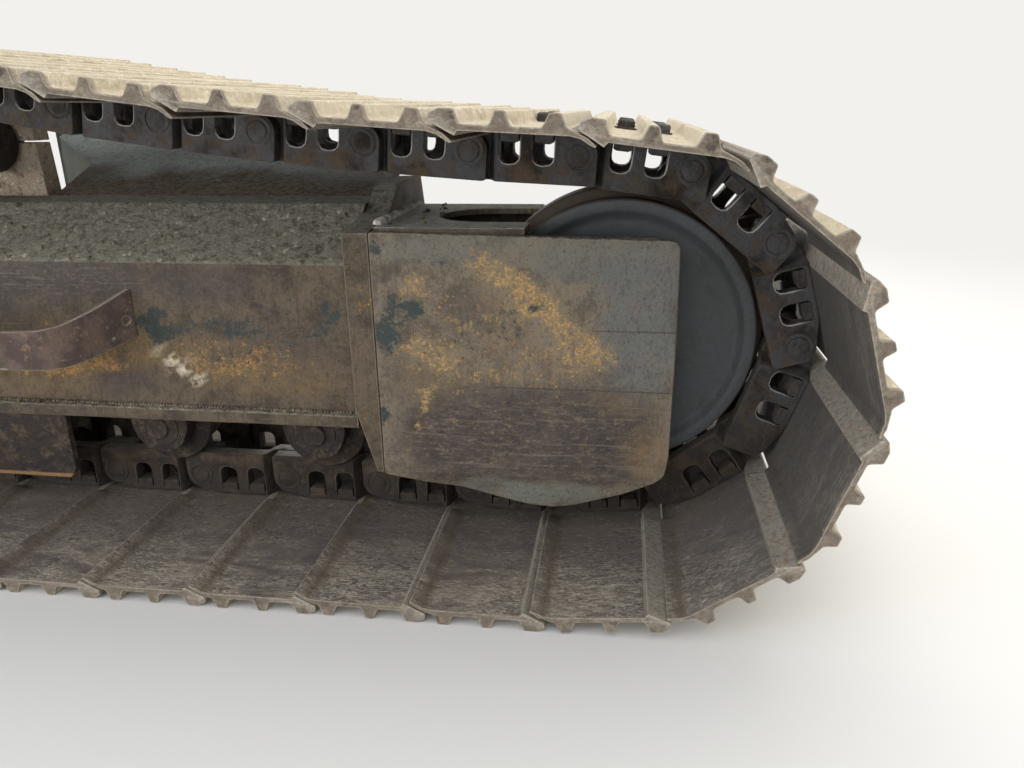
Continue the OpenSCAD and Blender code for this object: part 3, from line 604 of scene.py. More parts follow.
finish = {
    "shoe": shoeSteel(),
    "chain": chainSteel(),
    # the idler's faint blue in its slate grey is painted haze light
    "idler": rollerSteel("forgedIdlerSteelBlued"),
    # dark skin of the rollers: dirt, made darker still as painted shade under the frame
    "rollerCopies": rollerSteel("forgedRollerSteelDirty", skin="#2d2826", dirt="#3d332b", dirtLow=0.42,
                                mottle=0.75, onCopies=True),
    "cover": wornEnamel("wornYellowEnamelCover", film="#766a58", filmDark="#4e453a", brushColour="#82786a",
                        shares=(0, 0, 0)),
    "frame": wornEnamel("wornYellowEnamelUnderMud", film="#5d503e", filmDark="#3a3127", brushColour="#6c5f4b", yellow="#c18f4a",
                        yellowDeep="#8a6836", primer="#222c2a", pitColour="#352d24", scraped="#382c27",
                        shares=(0.5, 0.5, 0.5)),
    # the box top's near-white top coats are pale dust painted lighter still, as light on a top in shade under the
    # chain
    "boxTop": wornEnamel("wornYellowEnamelUnderPaleDust", film="#756a59", top="#e2dfd4", topDark="#b7b3a6"),
    # the legs' near-white top coats are dust painted lighter still, as light on top plates in shade under the chain
    "leg": wornEnamel("greyGreenEnamelDusty", film="#73786f", filmDark="#595e56", yellow="#8c8d80",
                      yellowDeep="#74776d", primer="#4a5451", scraped="#5f5649", dusty="#857d6d", top="#e2eae7",
                      topDark="#bcc5c1", brushColour="#7c8078", pitColour="#58564b"),
    "forged": rollerSteel("forgedSteelGreasy", skin="#57504a", dirt="#675a4c", dirtLow=0.45),
    "drive": wornEnamel("darkGreyEnamelWorn", film="#444240", filmDark="#383634", yellow="#5c564e",
                        yellowDeep="#4d4842", primer="#303233", scraped="#3b3735", top="#6f685a",
                        topDark="#565043", brushColour="#4d4a46", pitColour="#2e2c29"),
    # dark skin of the track guides: dirt, made darker still as painted shade under the frame
    "guide": rollerSteel("forgedGuideSteelDirty", skin="#2d2725", dirt="#3a3029", dirtLow=0.42,
                         wornColour="#86694a", mottle=0.7),
    "rusty": rustySteel(),
    "cast": castSteel(),
    "weld": weldSteel("arcWeldBeadOxidised", "#6d604f", "#52463a", "#8f8472"),
    # the bead on top of the bulkhead: its near-white colours are painted sunlight on the bead
    "weldPaintedSunlit": weldSteel("arcWeldBeadPale", "#dcd8ce", "#958a7c", "#f2eee4"),
    "mud": driedMud(),
}
print("finishes made:", len(finish))


def buildRepeatTree():
    tree = bpy.data.node_groups.new("repeatOnPoints", "GeometryNodeTree")
    for name, kind in (("Points", "NodeSocketGeometry"), ("Piece", "NodeSocketObject"),
                       ("Finish", "NodeSocketMaterial"), ("Wobble", "NodeSocketFloat"),
                       ("Slip", "NodeSocketFloat"), ("Size Spread", "NodeSocketFloat"), ("Seed", "NodeSocketInt")):
        tree.interface.new_socket(name, in_out="INPUT", socket_type=kind)
    tree.interface.new_socket("Mesh", in_out="OUTPUT", socket_type="NodeSocketGeometry")
    given = addNode(tree, "NodeGroupInput").outputs
    turn = addNode(tree, "GeometryNodeInputNamedAttribute", {"Name": "turn"}, data_type="FLOAT_VECTOR").outputs[0]
    sway = addNode(tree, "FunctionNodeRandomValue", {0: (-1, -1, -1), 1: (1, 1, 1), "Seed": given["Seed"]},
                   data_type="FLOAT_VECTOR").outputs[0]
    swayed = addNode(tree, "ShaderNodeVectorMath", {0: sway, "Scale": given["Wobble"]}, operation="SCALE").outputs[0]
    whole = addNode(tree, "ShaderNodeVectorMath", {0: turn, 1: swayed}, operation="ADD").outputs[0]
    turned = addNode(tree, "FunctionNodeEulerToRotation", {0: whole}).outputs[0]
    size = addNode(tree, "FunctionNodeRandomValue", {"Seed": given["Seed"]}, data_type="FLOAT")
    spread = addNode(tree, "ShaderNodeMath", {0: size.outputs[1], 1: given["Size Spread"], 2: 1.0},
                     operation="MULTIPLY_ADD").outputs[0]
    source = addNode(tree, "GeometryNodeObjectInfo", {"Object": given["Piece"], "As Instance": True})
    copies = addNode(tree, "GeometryNodeInstanceOnPoints", {"Points": given["Points"],
                                                            "Instance": source.outputs["Geometry"],
                                                            "Rotation": turned, "Scale": spread}).outputs[0]
    slide = addNode(tree, "ShaderNodeVectorMath", {0: sway, "Scale": given["Slip"]}, operation="SCALE").outputs[0]
    slid = addNode(tree, "GeometryNodeTranslateInstances", {"Instances": copies, "Translation": slide}).outputs[0]
    mark = addNode(tree, "FunctionNodeRandomValue", {"Seed": given["Seed"]}, data_type="FLOAT").outputs[1]
    marked = addNode(tree, "GeometryNodeStoreNamedAttribute", {"Geometry": slid, "Name": "copySeed", "Value": mark},
                     data_type="FLOAT", domain="INSTANCE").outputs[0]
    real = addNode(tree, "GeometryNodeRealizeInstances", {"Geometry": marked}).outputs[0]
    finished = addNode(tree, "GeometryNodeSetMaterial", {"Geometry": real, "Material": given["Finish"]}).outputs[0]
    addNode(tree, "NodeGroupOutput", {"Mesh": finished})
    return tree


repeatTree = buildRepeatTree()
repeatInputs = {item.name: item.identifier for item in repeatTree.interface.items_tree if item.in_out == "INPUT"}


# copies a mesh to places given in mm, each turned by its own angles about X, Y and Z
def repeatMesh(name, mesh, places, turns, material, wobble=0.0, slip=0.0, sizeSpread=0.0, seed=1):
    local = mesh.attributes.new("local", "FLOAT_VECTOR", "POINT")
    for vertex, value in zip(mesh.vertices, local.data):
        value.vector = vertex.co
    source = makeObject(name + "_source", mesh)
    holder = makeObject(name, meshFrom(name, places, []))
    turnData = holder.data.attributes.new("turn", "FLOAT_VECTOR", "POINT")
    for value, turn in zip(turnData.data, turns):
        value.vector = turn
    modifier = holder.modifiers.new("repeat", "NODES")
    modifier.node_group = repeatTree
    for key, value in (("Piece", source), ("Finish", material), ("Wobble", math.radians(wobble)),
                       ("Slip", slip * mm), ("Size Spread", sizeSpread), ("Seed", seed)):
        modifier[repeatInputs[key]] = value
    applyModifiers(holder)
    bpy.data.objects.remove(source)
    return holder


def paintAttribute(mesh, name, rule):
    layer = mesh.attributes.new(name, "FLOAT", "POINT")
    for vertex, value in zip(mesh.vertices, layer.data):
        value.value = rule(*(vertex.co / mm))
    return mesh


# a rule that paints ragged spots: middle past the idler's axle and over the ground, half widths, turn, strength
def spotRule(spots, ragged=12):
    def rule(x, y, z):
        here = Vector((x, y, z))
        sway = noise.noise_vector(here / 45) * ragged + noise.noise_vector(here / 17) * ragged * 0.6
        best = 0
        for cx, cz, halfLong, halfWide, turn, strength in spots:
            a = math.radians(turn)
            du, dv = x - idlerX + sway.x - cx, z + sway.z - cz
            away = math.hypot((du * math.cos(a) + dv * math.sin(a)) / halfLong,
                              (dv * math.cos(a) - du * math.sin(a)) / halfWide)
            best = max(best, strength * smooth(1.35, 0.6, away))
        return best
    return rule


# ripples of a weld bead, as places and turns along a line
def weldLine(start, end, step=4.6):
    run = Vector(end) - Vector(start)
    turn = tuple(run.to_track_quat("Y", "Z").to_euler())
    count = max(1, round(run.length / step))
    return [(tuple(Vector(start) + run * (k + 0.5) / count), turn) for k in range(count)]


chain = {
    "links": 49,
    "pitch": 190.5,
    "pinHeight": 71.5,        # over the ground, on the lower run
    "idlerRadius": 316.2,     # of the pins' circle
    "sprocketSeats": 21,
    "carrierTop": 855.5,      # pins over the carrier rollers
    "carrierFromEnd": 1335,
    "sag": 26,
    "firstPin": 0.53,         # links past the idler's lowest point
}
pitch = chain["pitch"]
idlerStep = 2 * math.asin(pitch / 2 / chain["idlerRadius"])
sprocketStep = 4 * math.pi / chain["sprocketSeats"]
sprocketRadius = pitch / 2 / math.sin(sprocketStep / 2)
sprocketX, sprocketZ = -idlerX, chain["pinHeight"] + sprocketRadius
idlerLinks, sprocketLinks = math.pi / idlerStep, math.pi / sprocketStep
spanXs = [idlerX, idlerX - chain["carrierFromEnd"], sprocketX + chain["carrierFromEnd"], sprocketX]
spanZs = [idlerZ + chain["idlerRadius"], chain["carrierTop"], chain["carrierTop"], sprocketZ + sprocketRadius]
spanLinks = [(math.hypot(spanXs[i] - spanXs[i + 1], spanZs[i + 1] - spanZs[i])
              + 8 * chain["sag"] ** 2 / 3 / (spanXs[i] - spanXs[i + 1])) / pitch for i in range(3)]
topLinks = sum(spanLinks)


def pathPoint(t):
    if t < idlerLinks:
        return (idlerX + chain["idlerRadius"] * math.sin(t * idlerStep),
                idlerZ - chain["idlerRadius"] * math.cos(t * idlerStep))
    along = t - idlerLinks
    if along < topLinks:
        for i, length in enumerate(spanLinks):
            if along < length or i == 2:
                u = along / length
                return (spanXs[i] + (spanXs[i + 1] - spanXs[i]) * u,
                        spanZs[i] + (spanZs[i + 1] - spanZs[i]) * u - 4 * chain["sag"] * u * (1 - u))
            along -= length
    around = t - idlerLinks - topLinks
    if around < sprocketLinks:
        a = around * sprocketStep
        return sprocketX - sprocketRadius * math.sin(a), sprocketZ + sprocketRadius * math.cos(a)
    left = idlerLinks + topLinks + sprocketLinks + 2 * idlerX / pitch - t
    return idlerX - left * pitch, chain["pinHeight"]


pins = [pathPoint(chain["firstPin"] + k) for k in range(chain["links"])]
linkPlaces, linkTurns = [], []
for k, (x, z) in enumerate(pins):
    nextX, nextZ = pins[(k + 1) % len(pins)]
    linkPlaces.append(((x + nextX) / 2, 0, (z + nextZ) / 2))
    linkTurns.append((0, -math.atan2(nextZ - z, nextX - x), 0))
pinTurns = [(0, 0, 0)] * len(pins)
pinPlaces = [(x, 0, z) for x, z in pins]
print("chain path: idler at", round(idlerX, 1), round(idlerZ, 1))


shoe = {
    "width": 900,
    "seat": -44,              # the shoe's inner face, under the pins
    "plate": 8.5,
    "grouser": 19,
    "lipRise": 13,            # how far the lip curls inward outside the links
    "tailRise": 6,            # how far the tail under the next lip is pressed inward there
    "linkZone": (118, 140),   # half width where lip and tail stay flat for the links
}


def shoeMesh():
    seat, low = shoe["seat"], shoe["seat"] - shoe["plate"]
    tip = low - shoe["grouser"]
    outline = [(-131, seat), (-133, seat - 3), (-122, seat - 7), (-94, low), (-86, tip), (-70, tip), (-62, low),
               (-20, low), (-14, tip), (0, tip), (6, low), (46, low), (54, tip), (72, tip), (87, tip + 8),
               (84, tip + 12), (52, seat), (47, seat), (-20, seat), (-60, seat), (-98, seat), (-112, seat),
               (-125, seat)]
    radii = [2, 2, 8, 7, 4, 4, 7, 7, 4, 4, 7, 7, 4, 5, 3, 4, 3, 0, 0, 0, 8, 8, 2]
    ring = roundCorners(outline, radii, 3)
    half = shoe["width"] / 2
    centre = Vector((sum(p[0] for p in ring) / len(ring), sum(p[1] for p in ring) / len(ring)))

    def inset(point, amount):
        i = ring.index(point)
        ahead = Vector(ring[(i + 1) % len(ring)]) - Vector(ring[i - 1])
        normal = Vector((ahead.y, -ahead.x)).normalized()
        return Vector(point) - normal * amount

    stations = [(-half, 0.6), (-half + 0.8, 0), (-half + 12, 0), (-428, 0), (-404, 0), (-260, 0), (-140, 0),
                (-128, 0), (-118, 0), (0, 0)]
    stations += [(-y, shrink) for y, shrink in reversed(stations[:-1])]
    area = sum(a[0] * b[1] - b[0] * a[1] for a, b in zip(ring, ring[1:] + ring[:1]))
    sign = 1 if area > 0 else -1
    points, faces = [], []
    for y, shrink in stations:
        for point in ring:
            u, m = inset(point, shrink * sign)
            outside = smooth(*shoe["linkZone"], abs(y))
            rise = shoe["lipRise"] * smooth(-98, -134, u) ** 1.4 * outside
            if u > 48 and m > seat - 0.484 * (u - 52) - 2.5:
                rise += shoe["tailRise"] * outside
            points.append((u, y, m + rise))
    count = len(ring)
    for i in range(len(stations) - 1):
        for k in range(count):
            n = (k + 1) % count
            faces.append((i * count + k, i * count + n, (i + 1) * count + n, (i + 1) * count + k))
    faces += [tuple(range(count)), tuple(range((len(stations) - 1) * count, len(stations) * count))]
    mesh = tidyMesh(meshFrom("shoe", points, faces), 40)
    # dust lies on the ground side, and under the lip only near its ends
    paintAttribute(mesh, "ground", lambda x, y, z: 0.0 if z > seat - 4 or x > 80 or abs(y) > half - 1 else
                   1.0 if x > -96 else smooth(398, 424, abs(y)))
    paintAttribute(mesh, "worn", lambda x, y, z: 1.0 if x > 50 and z > tip + 9 else 0.0)
    paintAttribute(mesh, "inside", lambda x, y, z: 1.0 if z > seat - 3 and x < 50 and abs(y) < half - 2 else 0.0)
    # where the lip's underside is painted dark as shade
    paintAttribute(mesh, "lip", lambda x, y, z: smooth(-100, -118, x) if z < seat + 10 else 0.0)
    return mesh


shoes = repeatMesh("track_shoe_plates", shoeMesh(), linkPlaces, linkTurns, finish["shoe"], wobble=0.25, slip=1.2,
                   seed=4)
finishPiece(shoes, finish["shoe"], "shoe_steel", "track_shoes")
print("shoes:", len(shoes.data.polygons))


link = {
    "innerFace": 47.5,
    "leg": 30,
    "gap": 0.6,
    "windows": (-34, 25),     # their middles along the link
    "windowWidth": 36,
    "windowHeights": (-34, 19),
    "bend": (45, 62),         # where the link steps inward
    "boltPlaces": (-34, 25),
    "bossRadius": 31,
}


def linkMesh():
    half, boss = pitch / 2, link["bossRadius"]

    def arc(cx, start, end, steps):
        return [(cx + boss * math.cos(math.radians(start + (end - start) * s / steps)),
                 boss * math.sin(math.radians(start + (end - start) * s / steps))) for s in range(steps + 1)]

    outline = ([(-50, -44), (56, -44)] + arc(half, -64, -6, 4) + [(half + boss, 50), (-half - boss, 50)]
               + arc(-half, 186, 250, 5))
    outline = roundCorners(outline, [8, 8] + [0] * 5 + [8, 8] + [0] * 6, 3)
    low, high = link["windowHeights"]
    holes = []
    for middle in link["windows"]:
        w = link["windowWidth"] / 2
        holes.append(roundCorners([(middle - w, low), (middle + w, low), (middle + w, high), (middle - w, high)],
                                  [5, 5, 16, 16], 3))
    mesh = plateMesh("link", outline, -link["leg"] / 2, link["leg"] / 2, 2.6, holes, 1)
    bendStart, bendEnd = link["bend"]
    diceMesh(mesh, 0, [bendStart - 1, bendEnd + 1] + [bendStart + (bendEnd - bendStart) * k / 5 for k in range(6)])
    diceMesh(mesh, 1, (-11.5, 11.5))

    # the rims of the windows are rubbed at the rail side and at the trailing corner, and there they also carry a
    # painted highlight where the chamfer faces the light
    def rimWearAndHighlightRule(x, y, z):
        if not 12.3 < abs(y) < 14.97 or not low - 1 < z < high + 3:
            return 0.0
        return max(smooth(-8, 10, z - (x - middle) * 0.7) if abs(x - middle) < link["windowWidth"] / 2 + 3 else 0.0
                   for middle in link["windows"])

    paintAttribute(mesh, "rim", rimWearAndHighlightRule)
    outboard = link["innerFace"] + link["leg"] * 1.5 + link["gap"]
    inboard = link["innerFace"] + link["leg"] / 2

    moveVertices(mesh, lambda x, y, z: (0, outboard + (inboard - outboard) * smooth(bendStart, bendEnd, x), 0))
    return tidyMesh(mesh, 30, flip=False)


oneSide = linkMesh()
bothSides = joinMeshes("links", [oneSide, mirrored(oneSide)])
tidyMesh(bothSides, 30, flip=False)
paintAttribute(bothSides, "worn", lambda x, y, z: 1.0 if z > 49.9 else 0.0)
links = repeatMesh("chain_link_forgings", bothSides, linkPlaces, linkTurns, finish["chain"], seed=7)
finishPiece(links, finish["chain"], "chain_steel", "track_links")

pinShape = [(0, 110), (13, 110), (16.5, 109), (18.5, 106), (18.5, 47), (27, 46.5), (27, -46.5), (18.5, -47),
            (18.5, -106), (16.5, -109), (13, -110), (0, -110)]
ringShape = [(19.5, 104), (20.5, 109.4), (25.5, 109.4), (27.5, 104)]
pinMesh = joinMeshes("pin", [latheMesh("pinBody", pinShape, 20),
                             latheMesh("ringA", ringShape, 20, closed=True),
                             mirrored(latheMesh("ringB", ringShape, 20, closed=True))])
tidyMesh(pinMesh, 40)
pinPiece = repeatMesh("chain_pins", pinMesh, pinPlaces, pinTurns, finish["chain"], seed=9)
finishPiece(pinPiece, finish["chain"], "chain_steel")


def boltMesh():
    head = latheMesh("head", [(0, 6.5), (13, 6.5), (16.5, 4), (16.5, -7), (0, -7)], 6)
    washer = latheMesh("washer", [(0, -6), (19, -6), (19.5, -8.5), (0, -8.5)], 14)
    return joinMeshes("bolt", [head, washer])


def nutMesh():
    return latheMesh("nut", [(0, 9), (14, 9), (21, 6.5), (22, 4), (22, -9), (0, -9)], 4, turn=math.pi / 4)


boltPlaces, boltTurns, nutPlaces, nutTurns = [], [], [], []
for (x, _, z), (_, turn, _) in zip(linkPlaces, linkTurns):
    spin = Matrix.Rotation(turn, 4, "Y")
    for side in (-1, 1):
        for along in link["boltPlaces"]:
            across = link["innerFace"] + link["leg"] * 1.5 + link["gap"]
            seat = spin @ Vector((along, side * across, shoe["seat"] - shoe["plate"] - 8))
            boltPlaces.append((x + seat.x, seat.y, z + seat.z))
            boltTurns.append((-math.pi / 2, turn, 0))
            inside = spin @ Vector((along, side * across, link["windowHeights"][0] + 9))
            nutPlaces.append((x + inside.x, inside.y, z + inside.z))
            nutTurns.append((math.pi / 2, turn, 0))


bolts = repeatMesh("shoe_bolts", boltMesh(), boltPlaces, boltTurns, finish["chain"], seed=11)
finishPiece(bolts, finish["chain"], "chain_steel")
nuts = repeatMesh("shoe_nuts", nutMesh(), nutPlaces, nutTurns, finish["chain"], seed=12)
finishPiece(nuts, finish["chain"], "chain_steel")
print("links:", len(links.data.polygons), "pins:", len(pinPiece.data.polygons), "bolts:", len(bolts.data.polygons))


# hex bolt with a washer, its axis along Y and its head to -Y
def capBolt(size):
    r = size * 0.9
    head = latheMesh("capHead", [(0, -0.95 * size), (0.8 * r, -0.95 * size), (r, -0.75 * size), (r, 0), (0, 0)], 6)
    washer = latheMesh("capWasher", [(0, -0.18 * size), (1.15 * r, -0.18 * size), (1.15 * r, 0.1 * size),
                                     (0, 0.1 * size)], 14)
    return joinMeshes("capBolt", [head, washer])


def addMesh(name, mesh, material, slot, *nodes, body=trackBody):
    return finishPiece(makeObject(name, mesh), material, slot, *nodes, body=body)


def roundProfile(profile, radius, steps=3):
    closedRing = roundCorners(profile, [0] + [radius] * (len(profile) - 2) + [0], steps)
    return closedRing


# idler, with its axle, blocks, yoke and adjuster

idler = {
    "tread": 246.5,
    "flange": 264.5,
    "halfWidth": 90,
    "bore": 45.1,
}


def idlerMesh():
    t, f, w = idler["tread"], idler["flange"], idler["halfWidth"]
    side = [(idler["bore"], -w - 6), (80, -w - 6), (85, -w - 3), (90, -w + 7), (98, -w + 11), (120, -w + 12),
            (t - 40, -w + 12), (t - 31, -w + 10), (t - 24, -w + 3), (t - 18, -w), (t - 6, -w), (t - 2.5, -w + 1),
            (t, -w + 4), (t, -46), (t + 3, -42), (f - 5, -37), (f - 1.5, -34), (f, -29), (f, 0)]
    ring = side + [(r, -y) for r, y in reversed(side[:-1])]
    mesh = latheMesh("idler_wheel_forging", ring, 144, (idlerX, idlerZ), closed=True)
    return paintAttribute(mesh, "worn", lambda x, y, z: 1.0 if math.hypot(x - idlerX, z - idlerZ) > t - 3
                          and abs(y) < w - 2 else 0.0)


addMesh("idler_wheel_forging", idlerMesh(), finish["idler"], "roller_steel", "idler_wheel", body=idlerBody)
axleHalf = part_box("idler_axle")[1].y / mm
addMesh("idler_axle_bar", latheMesh("idler_axle_bar", [(0, -axleHalf), (41, -axleHalf), (45, -axleHalf + 4),
                                                       (45, axleHalf - 4), (41, axleHalf), (0, axleHalf)], 64,
                                    (idlerX, idlerZ)), finish["forged"], "forged_steel", "idler_axle")
for node in ("idler_block_outer", "idler_block_inner", "idler_yoke"):
    addMesh(node + "_forging", easedCopy(node, 4), finish["forged"], "forged_steel", node)

beamX0, beamX1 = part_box("frame_beam")[0].x / mm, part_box("frame_beam")[1].x / mm
boxX0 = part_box("front_bulkhead")[1].x / mm


# recoil spring on its rod, between the grease cylinder and the bulkhead
def adjusterMesh():
    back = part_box("adjuster_cylinder")[0].x / mm
    shape = [(0, back), (56, back), (60, back + 4), (60, back + 40), (88, back + 40), (94, back + 46),
             (94, back + 150), (90, back + 156), (52, back + 156), (52, beamX1 - 40), (94, beamX1 - 40),
             (94, beamX1 - 0.5), (0, beamX1 - 0.5)]
    body = latheMesh("adjusterBody", roundProfile(shape, 3), 56)
    turns, wire, radius = 9, 15, 77
    start, end = back + 172, beamX1 - 56
    points, faces, steps, round_ = [], [], 28, 10
    for k in range(turns * steps + 1):
        a = 2 * math.pi * k / steps
        y = start + (end - start) * k / (turns * steps)
        for j in range(round_):
            b = 2 * math.pi * j / round_
            r = radius + wire * math.cos(b)
            points.append((r * math.sin(a), y + wire * math.sin(b), r * math.cos(a)))
    for k in range(turns * steps):
        for j in range(round_):
            n = (j + 1) % round_
            faces.append((k * round_ + j, k * round_ + n, (k + 1) * round_ + n, (k + 1) * round_ + j))
    last = turns * steps * round_
    faces += [tuple(range(round_)), tuple(range(last, last + round_))]
    coil = tidyMesh(meshFrom("coil", points, faces))
    mesh = joinMeshes("adjuster_spring", [body, coil])
    mesh.transform(Matrix(((0, 1, 0, 0), (-1, 0, 0, 0), (0, 0, 1, idlerZ * mm), (0, 0, 0, 1))))
    return tidyMesh(mesh, flip=False)


addMesh("adjuster_spring", adjusterMesh(), finish["forged"], "forged_steel", "adjuster_cylinder")

# track rollers and carrier rollers

roller = {
    "tread": 74.7,
    "flange": 87,
    "waist": 51,
    "axleHeight": 196.5,
    "collar": 55,
    "railUnder": 227,
}
rollerNodes = ["track_roller_%d" % k for k in range(1, 10)]
rollerPlaces = [(boxCentre(n).x, 0, roller["axleHeight"]) for n in rollerNodes]


def rollerMesh():
    t, f, w = roller["tread"], roller["flange"], roller["waist"]
    side = [(0, -122.5), (f - 12, -122.5), (f - 3, -120.5), (f, -116), (f, -113), (f - 2, -111), (t + 1, -110),
            (t, -108), (t, -47), (t - 3, -43), (w + 5, -35), (w, -30), (w, 0)]
    body = latheMesh("rollerBody", side + [(r, -y) for r, y in reversed(side[:-1])], 56)
    under = roller["railUnder"] - roller["axleHeight"]
    collars = []
    for sign in (-1, 1):
        c = roller["collar"]
        outline = roundCorners([(-c - 4, under), (-c - 4, 4), (-c, -12), (-40, -40), (-14, -54), (14, -54),
                                (40, -40), (c, -12), (c + 4, 4), (c + 4, under)],
                               [1, 6, 20, 24, 24, 24, 24, 20, 6, 1], 4)
        near, far = sorted((sign * 122.5, sign * 160))
        collars.append(plateMesh("collar", outline, near, far, 2.5))
        shape = [(0, 170), (20, 170), (22, 168), (23, 164.5), (38, 164.5), (40, 163.5), (42, 159), (0, 159)]
        cap = latheMesh("cap", shape, 32)
        collars.append(cap if sign > 0 else mirrored(cap))
    mesh = joinMeshes("roller", [body, *collars])
    tidyMesh(mesh, flip=False)
    return paintAttribute(mesh, "worn", lambda x, y, z: 0.8 if abs(y) < 108 and math.hypot(x, z) > t - 2 else 0.0)


rollers = repeatMesh("track_rollers", rollerMesh(), rollerPlaces, [(0, 0, 0)] * 9, finish["rollerCopies"], seed=21)
finishPiece(rollers, finish["rollerCopies"], "roller_steel", *rollerNodes)
collarBolts, collarTurns = [], []
for x, _, z in rollerPlaces:
    for side in (-1, 1):
        for along in (-47, 47):
            collarBolts.append((x + along, side * 141, roller["railUnder"] + 25))
            collarTurns.append((-math.pi / 2, 0, 0))
finishPiece(repeatMesh("roller_bolts", capBolt(17), collarBolts, collarTurns, finish["chain"], seed=22),
            finish["chain"], "roller_steel")

carrierNodes = ["carrier_roller_front", "carrier_roller_rear"]


def carrierMesh():
    c = 62
    shape = [(0, -98), (34, -98), (36, -96), (38, -92), (42, -92), (44, -97), (54, -96), (60, -91), (62, -87),
             (62, -42), (60, -38), (52, -34), (52, 34), (60, 38), (62, 42), (62, 89), (60, 94), (54, 98), (25, 98),
             (25, 158), (23, 160), (0, 160)]
    return latheMesh("carrier", shape, 64)


carrierPlaces = [(boxCentre(n).x, 0, boxCentre(n).z) for n in carrierNodes]
carriers = repeatMesh("carrier_rollers", carrierMesh(), carrierPlaces, [(0, 0, 0)] * 2, finish["rollerCopies"],
                      seed=23)
finishPiece(carriers, finish["rollerCopies"], "roller_steel", *carrierNodes)
bracketBolts = []
for node in ("carrier_bracket_front", "carrier_bracket_rear"):
    addMesh(node + "_casting", easedCopy(node, 4), finish["cast"], "bracket_cast", node)
    low, high = (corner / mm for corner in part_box(node))
    ear = high.x - 24 if high.x > 0 else low.x + 24
    bracketBolts.append((ear, boxCentre(node).y, boxCentre(node.replace("bracket", "roller")).z + 28))
finishPiece(repeatMesh("clamp_bolts", capBolt(16), bracketBolts, [(-math.pi / 2, 0, 0)] * 2, finish["cast"],
                       seed=24), finish["cast"], "bracket_cast")
print("rollers:", len(rollers.data.polygons))

# side frame

beam = {
    "halfWidth": 182,
    "bottom": 252,            # where the sides meet the rails
    "crease": 532,
    "ridge": 622,
    "ridgeHalf": 60,
    "plate": 12,
    "foldRadius": 26,
    "dent": 2.2,              # depth of the shallow dents
    "rows": 15,               # divisions of each side
}

# spots on the outboard side: middle past the idler's axle and over the ground, half widths, turn, strength
beamSpots = {
    "yellow": [(-1000, 370, 260, 50, 0, 0.42), (-700, 350, 160, 50, 0, 0.5),
               (-1150, 328, 50, 22, 5, 0.9), (-1060, 322, 60, 24, 0, 1.0), (-970, 330, 55, 20, -4, 0.9),
               (-780, 338, 30, 22, 0, 0.85), (-725, 335, 45, 26, 0, 0.74), (-672, 346, 34, 22, 10, 0.8),
               (-1240, 360, 60, 30, 0, 0.5), (-560, 300, 40, 18, 0, 0.35)],
    "primer": [(-853, 421, 28, 20, 20, 0.95), (-833, 398, 36, 22, 0, 0.95), (-862, 393, 18, 15, 0, 0.8),
               (-768, 402, 34, 22, 10, 0.42), (-738, 420, 26, 16, 0, 0.72), (-693, 408, 36, 19, 8, 0.82),
               (-659, 403, 22, 14, 0, 0.72), (-700, 352, 90, 24, 0, 0.36), (-600, 420, 60, 60, 0, 0.36),
               (-520, 430, 20, 40, 0, 0.5), (-509, 446, 16, 18, 0, 0.9), (-540, 400, 20, 12, 0, 0.6),
               (-920, 350, 18, 12, 0, 0.7)],
    "scraped": [(-1028, 496, 190, 40, -2, 0.9), (-760, 490, 120, 36, 0, 0.6), (-600, 350, 90, 60, 0, 0.5),
                (-1180, 430, 90, 60, 0, 0.6), (-930, 300, 60, 30, 0, 0.6)],
    "warm": [(-1000, 370, 240, 50, 0, 0.8), (-640, 320, 140, 40, 0, 0.7), (-1150, 300, 160, 34, 0, 0.7)],
    "scuff": [(-838, 352, 30, 12, -35, 1.0), (-812, 335, 32, 14, -38, 1.0), (-790, 317, 24, 10, -30, 0.9),
              (-862, 366, 12, 7, 0, 0.7)],
}


def dented(depth, size, seed=0):
    def shift(x, y, z):
        n = noise.noise(Vector((x, y * 1.7, z)) / size + Vector((seed, seed, seed)))
        return n * depth
    return shift


# a section in y and z, swept along x
def sweepX(name, section, x0, x1, step, shift=None):
    stations = max(2, round((x1 - x0) / step) + 1)
    count = len(section)
    points, faces = [], []
    for i in range(stations):
        x = x0 + (x1 - x0) * i / (stations - 1)
        for y, z in section:
            dy, dz = shift(x, y, z) if shift else (0, 0)
            points.append((x, y + dy, z + dz))
    for i in range(stations - 1):
        for k in range(count):
            n = (k + 1) % count
            faces.append((i * count + k, i * count + n, (i + 1) * count + n, (i + 1) * count + k))
    faces += [tuple(range(count)), tuple(range((stations - 1) * count, stations * count))]
    return tidyMesh(meshFrom(name, points, faces), 40)


